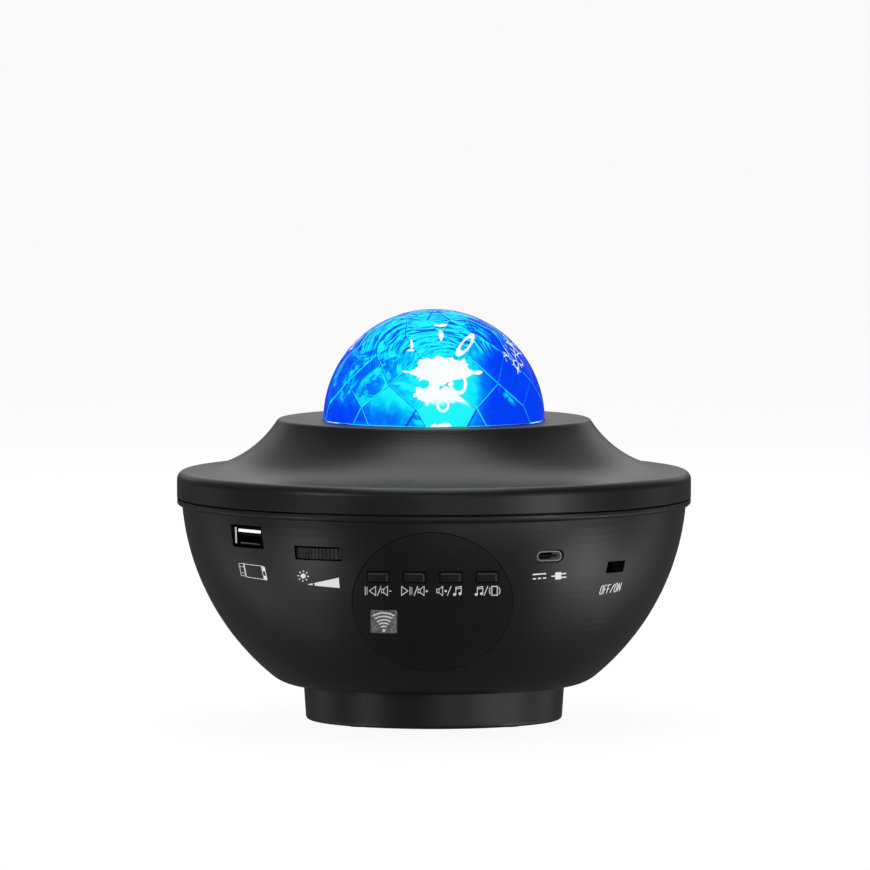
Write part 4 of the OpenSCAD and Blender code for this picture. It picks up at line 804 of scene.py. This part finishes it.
def make_signs():
    """The signs, the white contact, a painted reflection and a pale line inside the large socket,
    and the painted highlights along the buttons.
    """
    wall = wall_tree("lower_bowl")
    print_sign("sign_brightness", wall, brightness_sign(), "ink_white")
    print_sign("sign_charging", wall, charging_sign(), "ink_white")
    print_sign("sign_power", wall, power_sign(), "ink_white")
    print_sign("sign_switch", wall, switch_sign(), "ink_white")

    mouth, inside = usb_plane(0.0), usb_plane(USB_A_SUNK)
    contact = [stroke([(238.5, 530.0), (260.6, 532.1)], 2.8)]
    # A painted reflection: the pale vertical line that the shell's inner wall shows at the socket's
    # left.
    painted_reflection = [stroke([(235.7, 527.0), (236.3, 543.0)], 1.3)]
    spring = [stroke([(240.8, 542.5), (259.8, 544.6)], 1.2)]
    print_sign("usb_a_contact", inside, contact, "contact_white")
    print_sign("usb_a_painted_reflection", mouth, painted_reflection, "ink_grey")
    print_sign("usb_a_lower_spring", inside, spring, "dim_metal")

    print_sign("sign_buttons", wall_tree("control_panel"), buttons_sign(), "ink_grey")
    # Painted highlights along the top and the right side of each button.
    for body, x in (("previous", 367.6), ("next", 404.1), ("light", 440.3), ("effect", 476.7)):
        painted_highlight = [stroke([(x + 1.0, 574.0), (x + 18.6, 574.0)], 0.7),
                 stroke([(x + 19.3, 574.2), (x + 19.3, 581.3)], 0.8)]
        button = wall_tree("button_" + body)
        print_sign("button_" + body + "_painted_highlight", button, painted_highlight, "painted_highlight_grey", body)
    print_sign("sign_receiver", wall_tree("ir_window"), receiver_sign(), "ink_grey")


# Camera, stage and light ---------------------------------------------------------------------

SENSOR = 36.0
STAGE_R = 5.6
FLOOR_THICKNESS = 0.01
WORLD_STRENGTH = 0.115
LIGHT_DISTANCE = 1.3
LIGHT_AIM = Vector((0, 0, 0.06))

# Soft boxes round the object: azimuth, elevation, half width and half height in degrees, and
# brightness.
LIGHTS = {
    "back_middle": (180, 44, 14, 12, 1.3),
    "back_high": (180, 68, 15, 12, 2.1),
    "overhead": (0, 86, 15, 12, 3.1),
    "front_high": (0, 64, 15, 10, 0.6),
    "back_low": (180, 20, 14, 8, 0.95),
    "back_right": (155, 20, 12, 10, 0.72),
    "back_left": (-155, 20, 12, 10, 0.52),
    "high_right": (135, 44, 16, 13, 0.3),
    "high_left": (-135, 44, 16, 13, 0.25),
    "far_right": (115, -14, 12, 12, 0.5),
    "far_left": (-115, -14, 12, 12, 0.35),
    "right": (78, -26, 10, 10, 3.6),
    "left": (-78, -26, 10, 10, 0.4),
    "inner_right": (62, -24, 8, 10, 0.9),
    "inner_left": (-62, -27, 8, 10, 3.0),
    "low_right": (84, -46, 12, 9, 0.35),
    "low_left": (-84, -46, 12, 9, 0.6),
    "under_right": (104, -30, 10, 10, 1.1),
    "under_left": (-104, -30, 10, 10, 0.7),
    "front_right": (50, -3, 9, 7, 4.6),
    "front_near": (34, -8, 8, 6, 1.3),
    "front_low": (12, -12, 12, 7, 1.1),
    "up_left": (-50, 14, 10, 8, 3.8),
    "front": (0, 12, 12, 14, 0.7),
}


def make_camera():
    """The camera that was fitted to the photograph."""
    data = bpy.data.cameras.new("camera")
    data.sensor_width = SENSOR
    data.lens = FOCAL_PX / IMAGE_SIDE * SENSOR
    data.clip_end = 30
    camera = bpy.data.objects.new("camera", data)
    camera.location = EYE
    camera.rotation_euler = (math.radians(90 - PITCH), 0, 0)
    bpy.context.scene.collection.objects.link(camera)
    bpy.context.scene.camera = camera


def plain(name, colour, glow):
    """A plain pale stage surface that also glows, so that it stays even far away."""
    g = Graph(name)
    tint = g.mix(g.patches(g.noise(3.0)), [c * 0.995 for c in glow[:3]] + [1], glow)
    g.set(Base_Color=colour, Roughness=0.9, Emission_Color=tint, Emission_Strength=1.0)
    g.shader.inputs["Specular IOR Level"].default_value = 0.1
    return g.material


def make_stage():
    """A pale floor and a pale round backdrop, which only the camera sees."""
    ground = lathe("floor", [(0, 0), (STAGE_R, 0), (STAGE_R, -FLOOR_THICKNESS),
                             (0, -FLOOR_THICKNESS)], 128)
    arc = [(STAGE_R * math.cos(math.radians(a)), STAGE_R * math.sin(math.radians(a)))
           for a in range(-85, 86, 5)]
    sky = lathe("backdrop", [(0, -STAGE_R), *arc, (0, STAGE_R)], 96)
    ground.materials.append(plain("floor_pale", linear(95, 95, 96), linear(247, 247, 248)))
    sky.materials.append(plain("backdrop_pale", linear(0, 0, 0), linear(249, 249, 250)))
    for mesh in (ground, sky):
        obj = bpy.data.objects.new(mesh.name, mesh)
        bpy.context.scene.collection.objects.link(obj)
        obj.visible_diffuse = obj.visible_glossy = False
        obj.visible_transmission = obj.visible_shadow = False


def soft_box(name, azimuth, elevation, half_width, half_height, brightness):
    """A rectangular light that faces the object. Its face is as bright at any size."""
    data = bpy.data.lights.new(name, "AREA")
    data.shape = "RECTANGLE"
    data.size = 2 * LIGHT_DISTANCE * math.tan(math.radians(half_width))
    data.size_y = 2 * LIGHT_DISTANCE * math.tan(math.radians(half_height))
    data.energy = math.pi * data.size * data.size_y * brightness
    light = bpy.data.objects.new(name, data)
    light.location = LIGHT_AIM + direction(azimuth, elevation) * LIGHT_DISTANCE
    light.rotation_euler = (LIGHT_AIM - light.location).to_track_quat("-Z", "Y").to_euler()
    bpy.context.scene.collection.objects.link(light)


def make_light():
    """The soft boxes, and a weak even light from all sides."""
    world = bpy.data.worlds.new("studio")
    world.use_nodes = True
    background = world.node_tree.nodes["Background"]
    background.inputs["Color"].default_value = (1, 1, 1, 1)
    background.inputs["Strength"].default_value = WORLD_STRENGTH
    bpy.context.scene.world = world
    for name, light in LIGHTS.items():
        soft_box(name, *light)
    bpy.context.scene.view_settings.view_transform = "Standard"


dress_nodes()
make_camera()
make_dome()
make_signs()
make_stage()
make_light()
